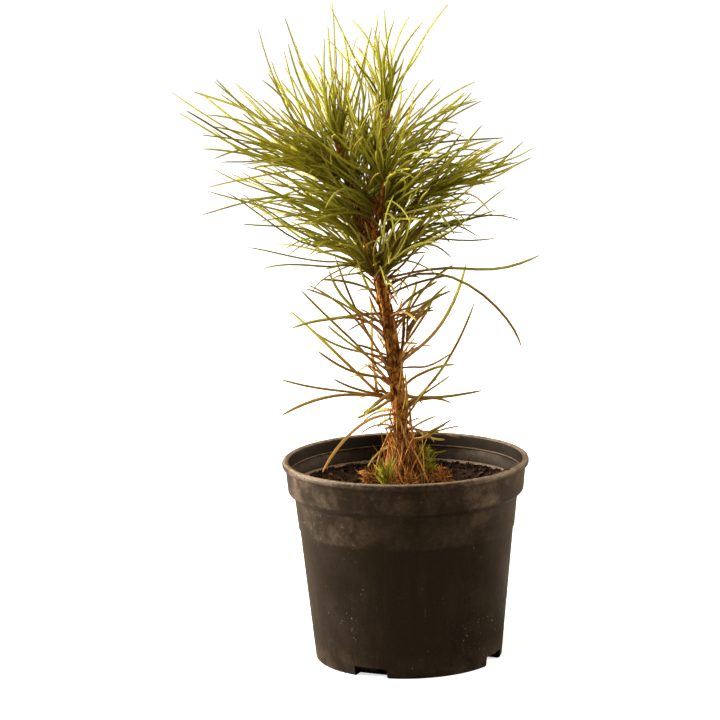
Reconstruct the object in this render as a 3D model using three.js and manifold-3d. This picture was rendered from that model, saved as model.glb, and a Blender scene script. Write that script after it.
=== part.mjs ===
// A young pine growing in a round plastic nursery pot.
// Millimetres, +Z up, the front faces -Y. The origin is the centre of the pot's underside.
import * as THREE from "three";
import { mergeVertices } from "three/addons/utils/BufferGeometryUtils.js";
import Module from "manifold-3d";

const wasm = await Module();
wasm.setup();

// ---- Driving dimensions ----

const clearance = 0.3; // between pieces that touch

const potHeight = 140;
const rimDiameter = 170;
const baseDiameter = 129;
const wall = 1.8;
const floorThickness = 2.6;
const lipDepth = 4.6;
const lipOverhang = 2.2; // how far the lip stands out past the collar
const skirtDepth = 9; // the lip's inner edge hangs this far below the rim
const collarDepth = 22.5; // from the rim to the foot of the collar
const collarTaper = 1.6;
const collarShoulder = 4; // how far the body steps in below the collar
const bandDepth = 48; // from the rim to the faint step in the body
const bandStep = 0.7;
const potSides = 40;
const soilSides = 28;
const soilRings = 5;

const notchCount = 4;
const notchWidth = 24;
const notchHeight = 7;
const notchReach = 10; // how far a notch runs in under the floor
const notchTurn = 245; // heading of the first notch, degrees
const drainDiameter = 7;

const soilDepthBelowRim = 22; // soil surface at the wall
const moundHeight = 6; // extra height of the soil at the stem
const moundSpread = 26;

const stemBaseRadius = 5.4;
const stemTopRadius = 2.7;
const stemTopHeight = 234; // above the soil's edge, as is every height on the plant
const stemRootDepth = 24; // how deep the stem's lowest end is buried
const branchRadius = 2;
const twigRadius = 1.2;

const needleRadius = 0.75;
const needleLength = 96;
const bendSpread = 50; // degrees between the most and the least bent needle of a group
const ridgeMargin = 0.35; // a group's strip of bark is this much thicker than its needles
const budRadius = 2;
const budLength = 8;

// ---- Colours ----

const blackPlastic = { color: 0x2b2019, roughness: 0.5 };
const darkSoil = { color: 0x3c2a1b, roughness: 0.95 };
const barkBrown = { color: 0x8d6238, roughness: 0.9 };
const needleGreen = { color: 0x8c8a35, roughness: 0.55 };
const tipGreen = { color: 0xa8a448, roughness: 0.55 };
const strayGreen = { color: 0x9a8440, roughness: 0.6 };
const deadBrown = { color: 0x7a5229, roughness: 0.8 };
const mossGreen = { color: 0x6b6a2c, roughness: 0.95 };

// ---- Small helpers ----

const radians = (degrees) => (degrees * Math.PI) / 180;
const sinc = (x) => (Math.abs(x) < 1e-9 ? 1 : Math.sin(x) / x);
const xyz = (x, y, z) => new THREE.Vector3(x, y, z);

const towards = (heading, lift = 0) =>
  xyz(
    Math.cos(radians(lift)) * Math.cos(radians(heading)),
    Math.cos(radians(lift)) * Math.sin(radians(heading)),
    Math.sin(radians(lift)),
  );

// Repeatable chance, from 0 to 1.
let chanceState = 20731;
function chance() {
  chanceState = (chanceState * 48271) % 2147483647;
  return chanceState / 2147483647;
}
const around = (middle, spread) => middle + spread * (chance() - 0.5);

function solid(geometry) {
  const bare = geometry.clone();
  bare.deleteAttribute("normal");
  bare.deleteAttribute("uv");
  const merged = mergeVertices(bare, 1e-4);
  return new wasm.Manifold(
    new wasm.Mesh({
      numProp: 3,
      vertProperties: new Float32Array(merged.attributes.position.array),
      triVerts: new Uint32Array(merged.index.array),
    }),
  );
}

function piece(name, shape, finish) {
  const mesh = shape.getMesh();
  const geometry = new THREE.BufferGeometry();
  geometry.setAttribute("position", new THREE.BufferAttribute(mesh.vertProperties, 3));
  geometry.setIndex(new THREE.BufferAttribute(mesh.triVerts, 1));
  geometry.computeVertexNormals();
  const made = new THREE.Mesh(geometry, new THREE.MeshStandardMaterial({ ...finish, metalness: 0 }));
  made.name = name;
  return made;
}

// Bends an upright cone or cylinder of unit height along a curve. The radius is a function of the
// way along it, and across is a vector that is never in line with the curve.
function bendAlong(geometry, curve, across, radiusAt) {
  const spots = geometry.attributes.position;
  const spot = new THREE.Vector3();
  for (let i = 0; i < spots.count; i++) {
    spot.fromBufferAttribute(spots, i);
    const along = Math.min(1, Math.max(0, spot.y + 0.5));
    const spoke = Math.hypot(spot.x, spot.z);
    const radius = spoke > 1e-6 ? radiusAt(along) / spoke : 0;
    const tangent = curve.getTangent(along);
    const side = across.clone().addScaledVector(tangent, -tangent.dot(across)).normalize();
    const other = side.clone().cross(tangent);
    const place = curve.getPoint(along);
    place.addScaledVector(side, spot.x * radius).addScaledVector(other, spot.z * radius);
    spots.setXYZ(i, place.x, place.y, place.z);
  }
  return geometry;
}

const rod = (curve, across, radiusAt, sides, steps) =>
  bendAlong(new THREE.CylinderGeometry(1, 1, 1, sides, steps), curve, across, radiusAt);

const spike = (curve, across, radiusAt, sides, steps) =>
  bendAlong(new THREE.ConeGeometry(1, 1, sides, steps), curve, across, radiusAt);

const smooth = (points) => new THREE.CatmullRomCurve3(points, false, "catmullrom", 0.5);

// ---- Pot ----

const rimRadius = rimDiameter / 2;
const baseRadius = baseDiameter / 2;
const collarTop = rimRadius - lipOverhang;
const collarFoot = potHeight - collarDepth;
const bandFoot = potHeight - bandDepth;
const bodyTopRadius = collarTop - collarTaper - collarShoulder;
const soilTop = potHeight - soilDepthBelowRim;
const ridgeRadius = needleRadius + ridgeMargin;

// Outside radius of the body below the collar.
function bodyRadius(height) {
  const full = baseRadius + ((bodyTopRadius - baseRadius) * height) / collarFoot;
  return height < bandFoot ? full - bandStep * (height / bandFoot) : full;
}

const cornerHeight = notchHeight + floorThickness;
const cornerReach = notchReach + floorThickness;

function latheSolid(outline, sides) {
  const points = outline.map(([radius, height]) => new THREE.Vector2(radius, height));
  const geometry = new THREE.LatheGeometry(points, sides);
  return solid(geometry.rotateX(Math.PI / 2));
}

function makePot() {
  const lipFoot = potHeight - lipDepth;
  const throat = collarTop - wall;
  const shell = latheSolid([
    [0, 0],
    [baseRadius - 1, 0],
    [baseRadius, 1],
    [bodyRadius(bandFoot - 1), bandFoot - 1],
    [bodyRadius(bandFoot + 1), bandFoot + 1],
    [bodyRadius(collarFoot - 3), collarFoot - 3],
    [collarTop - collarTaper - 0.8, collarFoot],
    [collarTop - collarTaper, collarFoot + 1],
    [collarTop, lipFoot],
    [rimRadius - 0.6, lipFoot],
    [rimRadius, lipFoot + 0.9],
    [rimRadius, potHeight - 1.6],
    [rimRadius - 1.2, potHeight - 0.2],
    [rimRadius - 2.2, potHeight],
    [throat - 0.2, potHeight - 0.8],
    [throat - 1, potHeight - 2.2],
    [throat - 1, potHeight - skirtDepth],
    [throat - 0.1, potHeight - skirtDepth - 1],
    [throat - collarTaper, collarFoot + 3],
    [bodyRadius(collarFoot - 3) - wall, collarFoot],
    [bodyRadius(collarFoot - 3) - wall, collarFoot - 3],
    [bodyRadius(bandFoot + 1) - wall, bandFoot],
    [bodyRadius(cornerHeight) - wall, cornerHeight],
    [baseRadius - cornerReach - wall, floorThickness],
    [0, floorThickness],
  ], potSides);
  const corner = new THREE.Shape([
    new THREE.Vector2(baseRadius - notchReach, -1),
    new THREE.Vector2(baseRadius + 6, -1),
    new THREE.Vector2(baseRadius + 6, notchHeight),
    new THREE.Vector2(baseRadius - 1, notchHeight),
    new THREE.Vector2(baseRadius - notchReach, 0),
  ]);
  let pot = shell;
  for (let i = 0; i < notchCount; i++) {
    const turn = radians(notchTurn + (i * 360) / notchCount);
    const notch = new THREE.ExtrudeGeometry(corner, { depth: notchWidth, bevelEnabled: false });
    notch.translate(0, 0, -notchWidth / 2).rotateX(Math.PI / 2).rotateZ(turn);
    const drain = new THREE.CylinderGeometry(drainDiameter / 2, drainDiameter / 2, 40, 10);
    drain.rotateX(Math.PI / 2).translate(baseRadius - notchReach / 2 - 1, -notchWidth / 4, 0).rotateZ(turn);
    pot = pot.subtract(solid(notch)).subtract(solid(drain));
  }
  return pot;
}

// ---- Stems ----

// A stem passes through points spread evenly between two heights above the soil's edge.
function stem(from, to, places, baseRadius, topRadius) {
  const heightOf = (i) => soilTop + from + ((to - from) * i) / (places.length - 1);
  const points = places.map(([x, y], i) => xyz(x, y, heightOf(i)));
  const curve = smooth(points);
  const radiusAt = (along) => baseRadius + (topRadius - baseRadius) * along;
  const alongAt = (height) => (height - from) / (to - from);
  return { from, to, curve, radiusAt, alongAt };
}

const trunkPlaces = [[-1.4, 0], [-2, 1], [-4, 2], [-8, 1], [-15.5, 0], [-27, -2], [-40, -4]];
const trunk = stem(-stemRootDepth, stemTopHeight, trunkPlaces, stemBaseRadius, stemTopRadius);

// A side branch starts on the trunk's axis. Its steps count from the trunk's bark.
function branch(from, to, steps, radius) {
  const along = trunk.alongAt(from);
  const foot = trunk.curve.getPoint(along);
  const bark = xyz(...steps.at(-1), 0).setLength(trunk.radiusAt(along));
  const places = [[foot.x, foot.y], ...steps.map(([x, y]) => [foot.x + bark.x + x, foot.y + bark.y + y])];
  return stem(from, to, places, radius, radius * 0.75);
}

const branches = {
  right_leader: branch(168, 252, [[-2.1, 0.9], [-0.1, 4.9], [8.9, 8.9]], branchRadius + 0.5),
  left_branch: branch(196, 224, [[-7.1, -2], [-16.1, -4]], branchRadius),
  right_branch: branch(173, 204, [[15.7, -2.4], [35.7, -5.4]], branchRadius),
  back_branch: branch(162, 218, [[-4.3, 12.5], [1.7, 26.5]], branchRadius),
  front_branch: branch(164, 212, [[1.8, -11.7], [6.8, -24.7]], branchRadius),
  left_spur: branch(64, 70, [[-3, -0.3], [-11, -1.3]], twigRadius),
  right_spur: branch(80, 124, [[0, -0.3], [1.9, -1.3], [2.6, -1.4]], twigRadius),
};
const stems = { trunk, ...branches };

const stemSteps = 14;
const across = xyz(0, 1, 0);

const stemSolid = (one, grow, steps, sides) =>
  solid(rod(one.curve, one === trunk ? across : xyz(0.6, 0.5, 0.62), (t) => one.radiusAt(t) + grow, sides, steps));

// ---- Needles ----

// A needle leaves its base at one angle above the level and bends evenly to another, so it is an
// arc in the upright plane of its heading. A wave lifts its near half and drops its far half.
class Needle extends THREE.Curve {
  constructor(base, heading, lift, bend, length, wave = 0) {
    super();
    Object.assign(this, { base, heading, lift, bend, length, wave });
  }

  getPoint(along, target = new THREE.Vector3()) {
    const turned = radians(this.bend) * along;
    const chord = this.length * along * sinc(turned / 2);
    const slope = radians(this.lift) + turned / 2;
    const reach = chord * Math.cos(slope);
    const rise = chord * Math.sin(slope) + this.wave * Math.sin(2 * Math.PI * along);
    const turn = radians(this.heading);
    return target.set(
      this.base.x + reach * Math.cos(turn),
      this.base.y + reach * Math.sin(turn),
      this.base.z + rise,
    );
  }

  get steps() {
    return 3 + Math.floor(Math.abs(this.bend) / 40) + (this.wave ? 2 : 0);
  }
}

const needleRadiusAt = (along) => needleRadius * (1 - 0.35 * along);

function needleSolid(needle) {
  const side = towards(needle.heading + 90);
  return solid(spike(needle, side, needleRadiusAt, 3, needle.steps));
}

// Straight stretches already taken up by a piece: needles of different groups keep clear of them.
const taken = [];

function claim(owner, points, radiusAt) {
  for (let i = 1; i < points.length; i++) {
    const radius = radiusAt((i - 1) / (points.length - 1));
    taken.push({ owner, from: points[i - 1], to: points[i], radius });
  }
}

for (const [name, one] of Object.entries(stems)) {
  claim(name, one.curve.getPoints(stemSteps), one.radiusAt);
}

// Dead strands that rise from the ground beside the stem.
const strands = {
  dead_strand_left: { path: [[-12, -4, -6], [-13, -5, 12], [-11, -4, 34]], radius: 1.2 },
  dead_strand_front: { path: [[-7, -8, -6], [-8, -8, 16], [-5, -7.5, 28], [-6, -6.5, 66]], radius: 1.1 },
  dead_strand_right: { path: [[5, -5, -6], [6, -6, 22], [3.5, -5, 58]], radius: 1.1 },
};

const strandCurve = ({ path }) => smooth(path.map(([x, y, height]) => xyz(x, y, soilTop + height)));
for (const [name, strand] of Object.entries(strands)) {
  claim(name, strandCurve(strand).getPoints(6), () => strand.radius);
}

// Least distance between two straight stretches.
function stretchGap(a, b, c, d) {
  const u = b.clone().sub(a);
  const v = d.clone().sub(c);
  const w = a.clone().sub(c);
  const uu = u.dot(u);
  const uv = u.dot(v);
  const vv = v.dot(v);
  const uw = u.dot(w);
  const vw = v.dot(w);
  const spread = uu * vv - uv * uv;
  const clamp = (x) => Math.min(1, Math.max(0, x));
  let s = spread > 1e-9 ? clamp((uv * vw - vv * uw) / spread) : 0;
  const t = clamp((uv * s + vw) / vv);
  s = clamp((uv * t - uw) / uu);
  return w.addScaledVector(u, s).addScaledVector(v, -t).length();
}

function isClear(owners, points, radius) {
  for (const other of taken) {
    if (owners.includes(other.owner)) continue;
    const room = radius + other.radius + clearance;
    for (let i = 1; i < points.length; i++) {
      if (stretchGap(points[i - 1], points[i], other.from, other.to) < room) return false;
    }
  }
  return true;
}

const tip = "tip";

// The strip of bark, or the bud at the tip of a stem, that a group of needles grows from.
function makeSpine(host, low, high, heading) {
  const one = stems[host];
  if (low === tip) {
    const end = one.curve.getPoint(1);
    const growth = one.curve.getTangent(1);
    const foot = end.clone().addScaledVector(growth, clearance);
    const head = end.clone().addScaledVector(growth, clearance + budLength);
    return { curve: new THREE.LineCurve3(foot, head), radius: budRadius, side: xyz(0.6, 0.8, 0) };
  }
  const points = [0, 0.5, 1].map((share) => {
    const along = one.alongAt(low + (high - low) * share);
    const growth = one.curve.getTangent(along);
    const out = towards(heading);
    out.addScaledVector(growth, -growth.dot(out)).normalize();
    const offset = one.radiusAt(along) + clearance + ridgeRadius + 0.1;
    return one.curve.getPoint(along).addScaledVector(out, offset);
  });
  return { curve: smooth(points), radius: ridgeRadius, side: towards(heading + 90) };
}

const spineSteps = 2;

// Groups of needles. Every spine is laid out before the first needle grows, so that each needle
// can keep clear of all of them.
function layGroup(name, [host, low, high, heading]) {
  const spine = makeSpine(host, low, high, heading);
  claim(name, spine.curve.getPoints(spineSteps), () => spine.radius);
  const owners = low === tip ? [name, host] : [name];
  return { name, owners, spine, low, high, needles: [] };
}

// Tries one needle after another until one is clear of all other groups.
function growNeedle(group, attemptAt) {
  let needle;
  let points;
  let attempt = 0;
  do {
    needle = attemptAt(attempt);
    points = needle.getPoints(needle.steps);
    attempt += 1;
  } while (!isClear(group.owners, points, needleRadius) && attempt < 200);
  claim(group.name, points, needleRadiusAt);
  group.needles.push(needle);
}

// Needles that fan out from their strip of bark, or from the bud at a stem's tip.
function growSpray(group, heading, [fan, lift, spread, bend, count, share]) {
  for (let i = 0; i < count; i++) {
    const base = group.spine.curve.getPoint((i + 0.5) / count);
    const spoke = heading + fan * (((i * 0.618) % 1) - 0.5);
    growNeedle(group, (attempt) => {
      const turn = around(spoke, 8 + attempt);
      const rise = around(lift, spread);
      const droop = around(bend, bendSpread);
      return new Needle(base, turn, rise, droop, needleLength * share * around(0.95, 0.3));
    });
  }
}

// Needles set one by one: each row is height, heading, lift, bend, length and sometimes a wave.
function growSingles(group, rows) {
  for (const [height, heading, lift, bend, length, wave] of rows) {
    const base = group.spine.curve.getPoint((height - group.low) / (group.high - group.low));
    growNeedle(group, (attempt) => {
      const sway = attempt * 1.5 * (attempt % 2 ? 1 : -1);
      return new Needle(base, heading + sway, lift, bend, length, wave);
    });
  }
}

// The loose needles low on the stem.
// Each group's seat is its stem, the heights where its strip starts and ends, and its heading.
const singles = {
  spur_needles: {
    seat: ["left_spur", 66.6, 69.4, 180],
    rows: [
      [66.7, 180, 6, 11, 74],
      [67, 202, 11, -33, 78],
      [69, 166, 44, -6, 82],
      [69.4, 156, 62, -20, 74],
      [68, 206, 14, 20, 40],
      [66.9, 215, -25, 0, 22],
    ],
  },
  left_needles: {
    seat: ["trunk", 62, 148, 222],
    rows: [
      [64, 208, -24, 4, 30],
      [75, 192, 52, -6, 92],
      [78, 196, 12, 26, 56],
      [81, 206, 70, -44, 90],
      [84, 202, 32, 14, 58],
      [88, 190, 56, 18, 84],
      [93, 188, 13, 20, 56],
      [106, 198, 50, -28, 70],
      [118, 186, 20, 54, 54],
      [124, 190, 6, -25, 62],
      [131, 204, 55, 20, 38],
      [140, 194, 24, -20, 40],
    ],
  },
  right_needles: {
    seat: ["trunk", 44, 128, 40],
    rows: [
      [47, 20, -60, 60, 34],
      [54, 28, 36, 30, 92],
      [57, 12, 28, -60, 34],
      [63, 14, -4, 8, 56],
      [70, 22, 46, -58, 42],
      [88, 20, 28, 48, 84],
      [95, 10, 50, 12, 44],
      [111, 30, 40, 40, 36],
      [119, 18, 50, -28, 40],
    ],
  },
  right_spur_needles: {
    seat: ["right_spur", 104, 123, 340],
    rows: [
      [105, 350, 70, -40, 30],
      [111, 20, 60, -30, 42],
      [118, 340, 48, -24, 40],
      [122, 5, 62, -34, 46],
    ],
  },
  long_needles: {
    seat: ["trunk", 132, 147, 345],
    rows: [
      [136, 352, 26, -14, 42],
      [142, 8, 20, -98, 118, 3],
      [146.5, 346, 0, 18, 108, 4],
    ],
  },
  hanging_needles: {
    seat: ["trunk", 44, 60, 240],
    rows: [
      [53, 232, 10, -54, 87],
      [46, 200, -50, -30, 36],
      [58, 290, -60, -24, 40],
    ],
  },
};

// The crown. Each group has its seat, then its fan, lift, spread of lift, bend, how many needles
// and their share of a full length. A seat without heights is the bud at the stem's tip.
const sprays = {
  low_right: [["trunk", 150, 163, 8], [44, 42, 16, -30, 7, 1.0]],
  low_back_right: [["trunk", 146, 159, 50], [50, 42, 16, -30, 6, 1]],
  low_back_left: [["trunk", 144, 158, 130], [50, 38, 16, -26, 6, 1]],
  low_left: [["trunk", 150, 166, 184], [40, 34, 16, -24, 7, 1.05]],
  low_front_left: [["trunk", 148, 162, 236], [44, 36, 16, -28, 6, 0.95]],
  low_front_right: [["trunk", 146, 160, 300], [44, 40, 16, -30, 6, 0.9]],
  mid_right: [["right_leader", 186, 200, 350], [60, 38, 18, -30, 7, 0.95]],
  mid_back: [["trunk", 184, 198, 125], [50, 46, 18, -24, 6, 1]],
  mid_left: [["trunk", 172, 188, 172], [44, 30, 18, -16, 7, 1.1]],
  mid_front_left: [["trunk", 174, 190, 215], [40, 38, 18, -18, 6, 1]],
  mid_front_right: [["trunk", 184, 198, 325], [50, 48, 18, -24, 6, 0.9]],
  upper_left: [["trunk", 210, 229, 238], [60, 36, 24, -6, 7, 1.1]],
  upper_back: [["trunk", 204, 226, 100], [60, 54, 20, -14, 6, 1]],
  upper_front: [["trunk", 204, 226, 300], [60, 56, 20, -14, 6, 0.95]],
  leader_tip: [["trunk", tip, tip, 120], [300, 74, 26, -6, 10, 0.95]],
  right_leader_right: [["right_leader", 208, 226, 350], [60, 50, 20, -26, 7, 0.9]],
  right_leader_back: [["right_leader", 208, 228, 80], [60, 54, 20, -16, 6, 0.9]],
  right_leader_front: [["right_leader", 216, 236, 280], [60, 56, 20, -14, 6, 0.85]],
  right_leader_tip: [["right_leader", tip, tip, 20], [320, 70, 30, -8, 10, 0.8]],
  left_branch_front: [["left_branch", 205, 220, 225], [50, 32, 24, 0, 7, 1]],
  left_branch_back: [["left_branch", 205, 220, 140], [50, 34, 24, 0, 7, 1]],
  left_branch_tip: [["left_branch", tip, tip, 180], [60, 32, 50, 6, 10, 1.1]],
  right_branch_front: [["right_branch", 181, 198, 310], [60, 36, 22, -30, 6, 0.85]],
  right_branch_back: [["right_branch", 181, 198, 50], [60, 40, 22, -24, 6, 0.85]],
  right_branch_tip: [["right_branch", tip, tip, 0], [14, 28, 14, -8, 10, 0.72]],
  back_branch_left: [["back_branch", 186, 212, 160], [60, 42, 20, -16, 6, 0.95]],
  back_branch_right: [["back_branch", 186, 212, 40], [60, 42, 20, -20, 6, 0.9]],
  back_branch_tip: [["back_branch", tip, tip, 90], [150, 54, 34, -12, 9, 0.9]],
  front_branch_left: [["front_branch", 186, 206, 205], [60, 38, 20, -18, 6, 0.9]],
  front_branch_right: [["front_branch", 186, 206, 335], [60, 42, 20, -22, 6, 0.9]],
  front_branch_tip: [["front_branch", tip, tip, 270], [150, 52, 34, -14, 9, 0.85]],
};

const singleGroups = Object.entries(singles).map(([name, { seat }]) => layGroup(name, seat));
const sprayGroups = Object.entries(sprays).map(([name, [seat]]) => layGroup(`${name}_needles`, seat));
Object.values(singles).forEach(({ rows }, i) => growSingles(singleGroups[i], rows));
Object.values(sprays).forEach(([seat, rule], i) => growSpray(sprayGroups[i], seat[3], rule));

// A spine with its needles. Crossing needles can close in a tiny pocket, which is filled.
function tuftSolid({ spine, needles }) {
  let tuft = solid(rod(spine.curve, spine.side, () => spine.radius, 4, spineSteps));
  for (const needle of needles) {
    tuft = tuft.add(needleSolid(needle));
  }
  const skins = tuft.decompose();
  return skins.reduce((outer, skin) => (skin.volume() > outer.volume() ? skin : outer));
}

// ---- Ground: soil, roots, moss and litter ----

const groundAt = (x, y) => soilTop + moundHeight * Math.exp(-(x * x + y * y) / (moundSpread * moundSpread));

function strandSolid(strand, grow) {
  const radiusAt = (along) => strand.radius * (1 - 0.4 * along) + grow;
  return solid(rod(strandCurve(strand), xyz(0.3, 0.95, 0), radiusAt, 5, 6));
}

const blades = [
  [-13, -19, 250, 70, -30, 16],
  [-12, -20, 300, 80, -20, 19],
  [-14, -20, 200, 62, -36, 15],
];

// Green blades that come up from one crown in the soil.
function bladesSolid(grow) {
  let clump = solid(new THREE.SphereGeometry(3 + grow, 8, 6).translate(-13, -19.6, groundAt(-13, -19.6) + 1));
  for (const [x, y, heading, lift, bend, length] of blades) {
    const blade = new Needle(xyz(x, y, groundAt(x, y) + 1), heading, lift, bend, length);
    clump = clump.add(solid(spike(blade, towards(heading + 90), (t) => (1 + grow) * (1 - 0.4 * t), 3, 3)));
  }
  return clump;
}

// A lump that sits half sunk in the ground.
function lumpSolid([x, y, width, depth, height, turn], grow) {
  const lump = new THREE.IcosahedronGeometry(1, 1);
  lump.scale(width / 2 + grow, depth / 2 + grow, height / 2 + grow);
  lump.rotateZ(radians(turn)).translate(x, y, groundAt(x, y) + height * 0.2);
  return solid(lump);
}

const lumps = {
  moss_tuft: [12, -2, 13, 10, 30, 20],
  litter_left: [-21, -4, 16, 13, 13, 40],
  litter_front: [-1, -22, 22, 13, 11, 8],
  litter_right: [24, -7, 18, 13, 10, 60],
};

const chips = {
  bark_chip_1: [52, 10, 12, 4, 3, 30],
  bark_chip_2: [46, -28, 9, 4, 3, 100],
  bark_chip_3: [-50, -12, 11, 5, 3, 150],
  bark_chip_4: [-30, 44, 10, 5, 3, 75],
  bark_chip_5: [24, 50, 12, 4, 3, 10],
};

// A flat sliver that lies on the ground.
function chipSolid([x, y, length, width, thickness, turn]) {
  const chip = new THREE.CylinderGeometry(0.5, 0.42, 1, 6);
  chip.rotateX(Math.PI / 2).scale(length, width, thickness);
  chip.rotateZ(radians(turn)).translate(x, y, groundAt(x, y) + thickness / 2 + clearance + 0.2);
  return solid(chip);
}

function makeSoil() {
  const inset = wall + clearance;
  const outline = [
    [0, floorThickness + clearance],
    [baseRadius - cornerReach - inset, floorThickness + clearance],
    [bodyRadius(cornerHeight) - inset, cornerHeight + clearance],
    [bodyRadius(bandFoot + 1) - inset, bandFoot],
    [bodyRadius(collarFoot - 3) - inset, collarFoot - 3],
  ];
  const edge = bodyRadius(collarFoot - 3) - inset;
  for (let i = 0; i < soilRings; i++) {
    const radius = edge * (1 - i / soilRings);
    outline.push([radius, groundAt(radius, 0)]);
  }
  outline.push([0, groundAt(0, 0)]);
  return latheSolid(outline, soilSides);
}

// ---- Assembly ----

const plant = new THREE.Group();
plant.add(piece("pot", makePot(), blackPlastic));

const trunkGrown = stemSolid(trunk, clearance, stemSteps, 10);
plant.add(piece("trunk", stemSolid(trunk, 0, stemSteps, 10), barkBrown));
let stemsGrown = trunkGrown;
for (const [name, one] of Object.entries(branches)) {
  plant.add(piece(name, stemSolid(one, 0, 5, 7).subtract(stemsGrown), barkBrown));
  stemsGrown = stemsGrown.add(stemSolid(one, clearance, 5, 7));
}

let soil = makeSoil().subtract(trunkGrown);
let filled = trunkGrown;
for (const [name, strand] of Object.entries(strands)) {
  const grown = strandSolid(strand, clearance);
  plant.add(piece(name, strandSolid(strand, 0), deadBrown));
  soil = soil.subtract(grown);
  filled = filled.add(grown);
}
soil = soil.subtract(bladesSolid(clearance));
filled = filled.add(bladesSolid(clearance));
plant.add(piece("green_blades", bladesSolid(0), mossGreen));
for (const [name, lump] of Object.entries(lumps)) {
  const finish = name === "moss_tuft" ? mossGreen : deadBrown;
  plant.add(piece(name, lumpSolid(lump, 0).subtract(filled), finish));
  soil = soil.subtract(lumpSolid(lump, clearance));
  filled = filled.add(lumpSolid(lump, clearance));
}
plant.add(piece("soil", soil, darkSoil));
for (const [name, chip] of Object.entries(chips)) {
  plant.add(piece(name, chipSolid(chip), deadBrown));
}

for (const tuft of singleGroups) {
  plant.add(piece(tuft.name, tuftSolid(tuft), strayGreen));
}
for (const tuft of sprayGroups) {
  plant.add(piece(tuft.name, tuftSolid(tuft), tuft.name.includes("tip") ? tipGreen : needleGreen));
}

export default plant;
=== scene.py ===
import math

import bpy
import numpy as np
from bpy.props import FloatProperty, FloatVectorProperty, IntProperty, PointerProperty
from mathutils import Matrix, Vector, noise


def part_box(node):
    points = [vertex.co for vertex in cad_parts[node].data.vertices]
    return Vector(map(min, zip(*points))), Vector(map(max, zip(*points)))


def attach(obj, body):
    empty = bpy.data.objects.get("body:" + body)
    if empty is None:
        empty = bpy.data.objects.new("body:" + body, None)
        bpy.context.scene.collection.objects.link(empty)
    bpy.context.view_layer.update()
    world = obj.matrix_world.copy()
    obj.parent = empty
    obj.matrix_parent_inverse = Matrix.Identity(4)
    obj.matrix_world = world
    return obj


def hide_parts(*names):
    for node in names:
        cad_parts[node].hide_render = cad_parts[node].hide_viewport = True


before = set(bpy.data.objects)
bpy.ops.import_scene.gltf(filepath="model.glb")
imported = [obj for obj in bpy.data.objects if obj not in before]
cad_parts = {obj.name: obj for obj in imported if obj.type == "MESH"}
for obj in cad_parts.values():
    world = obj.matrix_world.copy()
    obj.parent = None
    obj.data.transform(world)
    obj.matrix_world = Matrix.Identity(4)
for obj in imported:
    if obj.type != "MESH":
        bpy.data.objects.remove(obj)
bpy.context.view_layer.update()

bl_info = {
    "name": "Potted Pine",
    "version": (1, 0, 0),
    "blender": (4, 5, 0),
    "location": "3D View > Sidebar > Potted Pine",
    "description": "Makes a young pine in a round plastic nursery pot, piece by piece",
    "category": "Object",
}

POT_LOW, POT_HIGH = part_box("pot")
MM = 0.001


# ---- Settings ----


def length(name, description, millimetres):
    metres = millimetres * MM
    return FloatProperty(
        name=name, description=description, default=metres, min=0.0, subtype="DISTANCE"
    )


def colour(name, description, *rgb):
    return FloatVectorProperty(
        name=name, description=description, default=rgb, min=0.0, max=1.0, size=3, subtype="COLOR"
    )


def number(name, description, default):
    return IntProperty(name=name, description=description, default=default, min=0)


def portion(name, description, default):
    return FloatProperty(name=name, description=description, default=default, min=0.0, max=1.0)


def angle(name, description, degrees):
    radians = math.radians(degrees)
    return FloatProperty(name=name, description=description, default=radians, subtype="ANGLE")


class PinePotSettings(bpy.types.PropertyGroup):
    height: length("Height", "Height of the pot", POT_HIGH.z / MM)
    rim_diameter: length("Rim diameter", "Diameter across the lip", (POT_HIGH.x - POT_LOW.x) / MM)
    base_diameter: length("Base diameter", "Diameter of the underside", 129)
    wall: length("Wall", "Thickness of the wall", 1.8)
    floor_thickness: length("Floor", "Thickness of the floor", 2.6)
    lip_depth: length("Lip depth", "Height of the lip's outer band", 4.6)
    lip_overhang: length("Lip overhang", "How far the lip stands out past the collar", 2.2)
    skirt_depth: length("Skirt depth", "How far the lip's inner edge hangs below the rim", 9)
    collar_depth: length("Collar depth", "From the rim to the foot of the collar", 22.5)
    collar_taper: length("Collar taper", "How much narrower the collar is at its foot", 1.6)
    collar_shoulder: length("Collar shoulder", "How far the body steps in below the collar", 4)
    band_depth: length("Band depth", "From the rim to the faint step in the body", 48)
    band_step: length("Band step", "Depth of the faint step in the body", 0.7)
    edge: length("Edge rounding", "Rounding of the moulded edges", 0.45)
    notch_count: number("Notches", "How many notches are in the foot", 4)
    notch_width: length("Notch width", "Width of a notch", 24)
    notch_height: length("Notch height", "Height of a notch", 7)
    notch_reach: length("Notch reach", "How far a notch runs in under the floor", 10)
    notch_turn: angle("First notch", "Heading of the first notch", 245)
    drain_diameter: length("Drain diameter", "Diameter of a drain hole", 7)
    plastic: colour("Plastic", "Colour of the clean plastic", 0.0078, 0.0045, 0.0026)
    # This colour also lays down the painted highlights on the lip's crest and the inner wall.
    dust_and_highlights: colour("Dust", "Colour of the dust on the plastic", 0.28, 0.20, 0.135)


class PineSoilSettings(bpy.types.PropertyGroup):
    depth_below_rim: length("Depth below rim", "From the rim down to the soil at the wall", 22)
    mound_height: length("Mound height", "Extra height of the soil at the stem", 6)
    mound_spread: length("Mound spread", "Radius over which the mound falls away", 26)
    clearance: length("Clearance", "Gap between pieces that touch", 0.3)
    crumbs: number("Crumbs", "How many crumbs lie on the soil", 1300)
    rim_crumbs: number("Rim crumbs", "How many crumbs lie on the lip", 40)
    edge_crumbs: number("Edge crumbs", "How many crumbs lie on the ledge at the wall", 1700)
    earth: colour("Earth", "Colour of the damp soil", 0.026, 0.0125, 0.005)
    dry_earth: colour("Dry earth", "Colour of the dry crumbs", 0.16, 0.085, 0.034)


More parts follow.
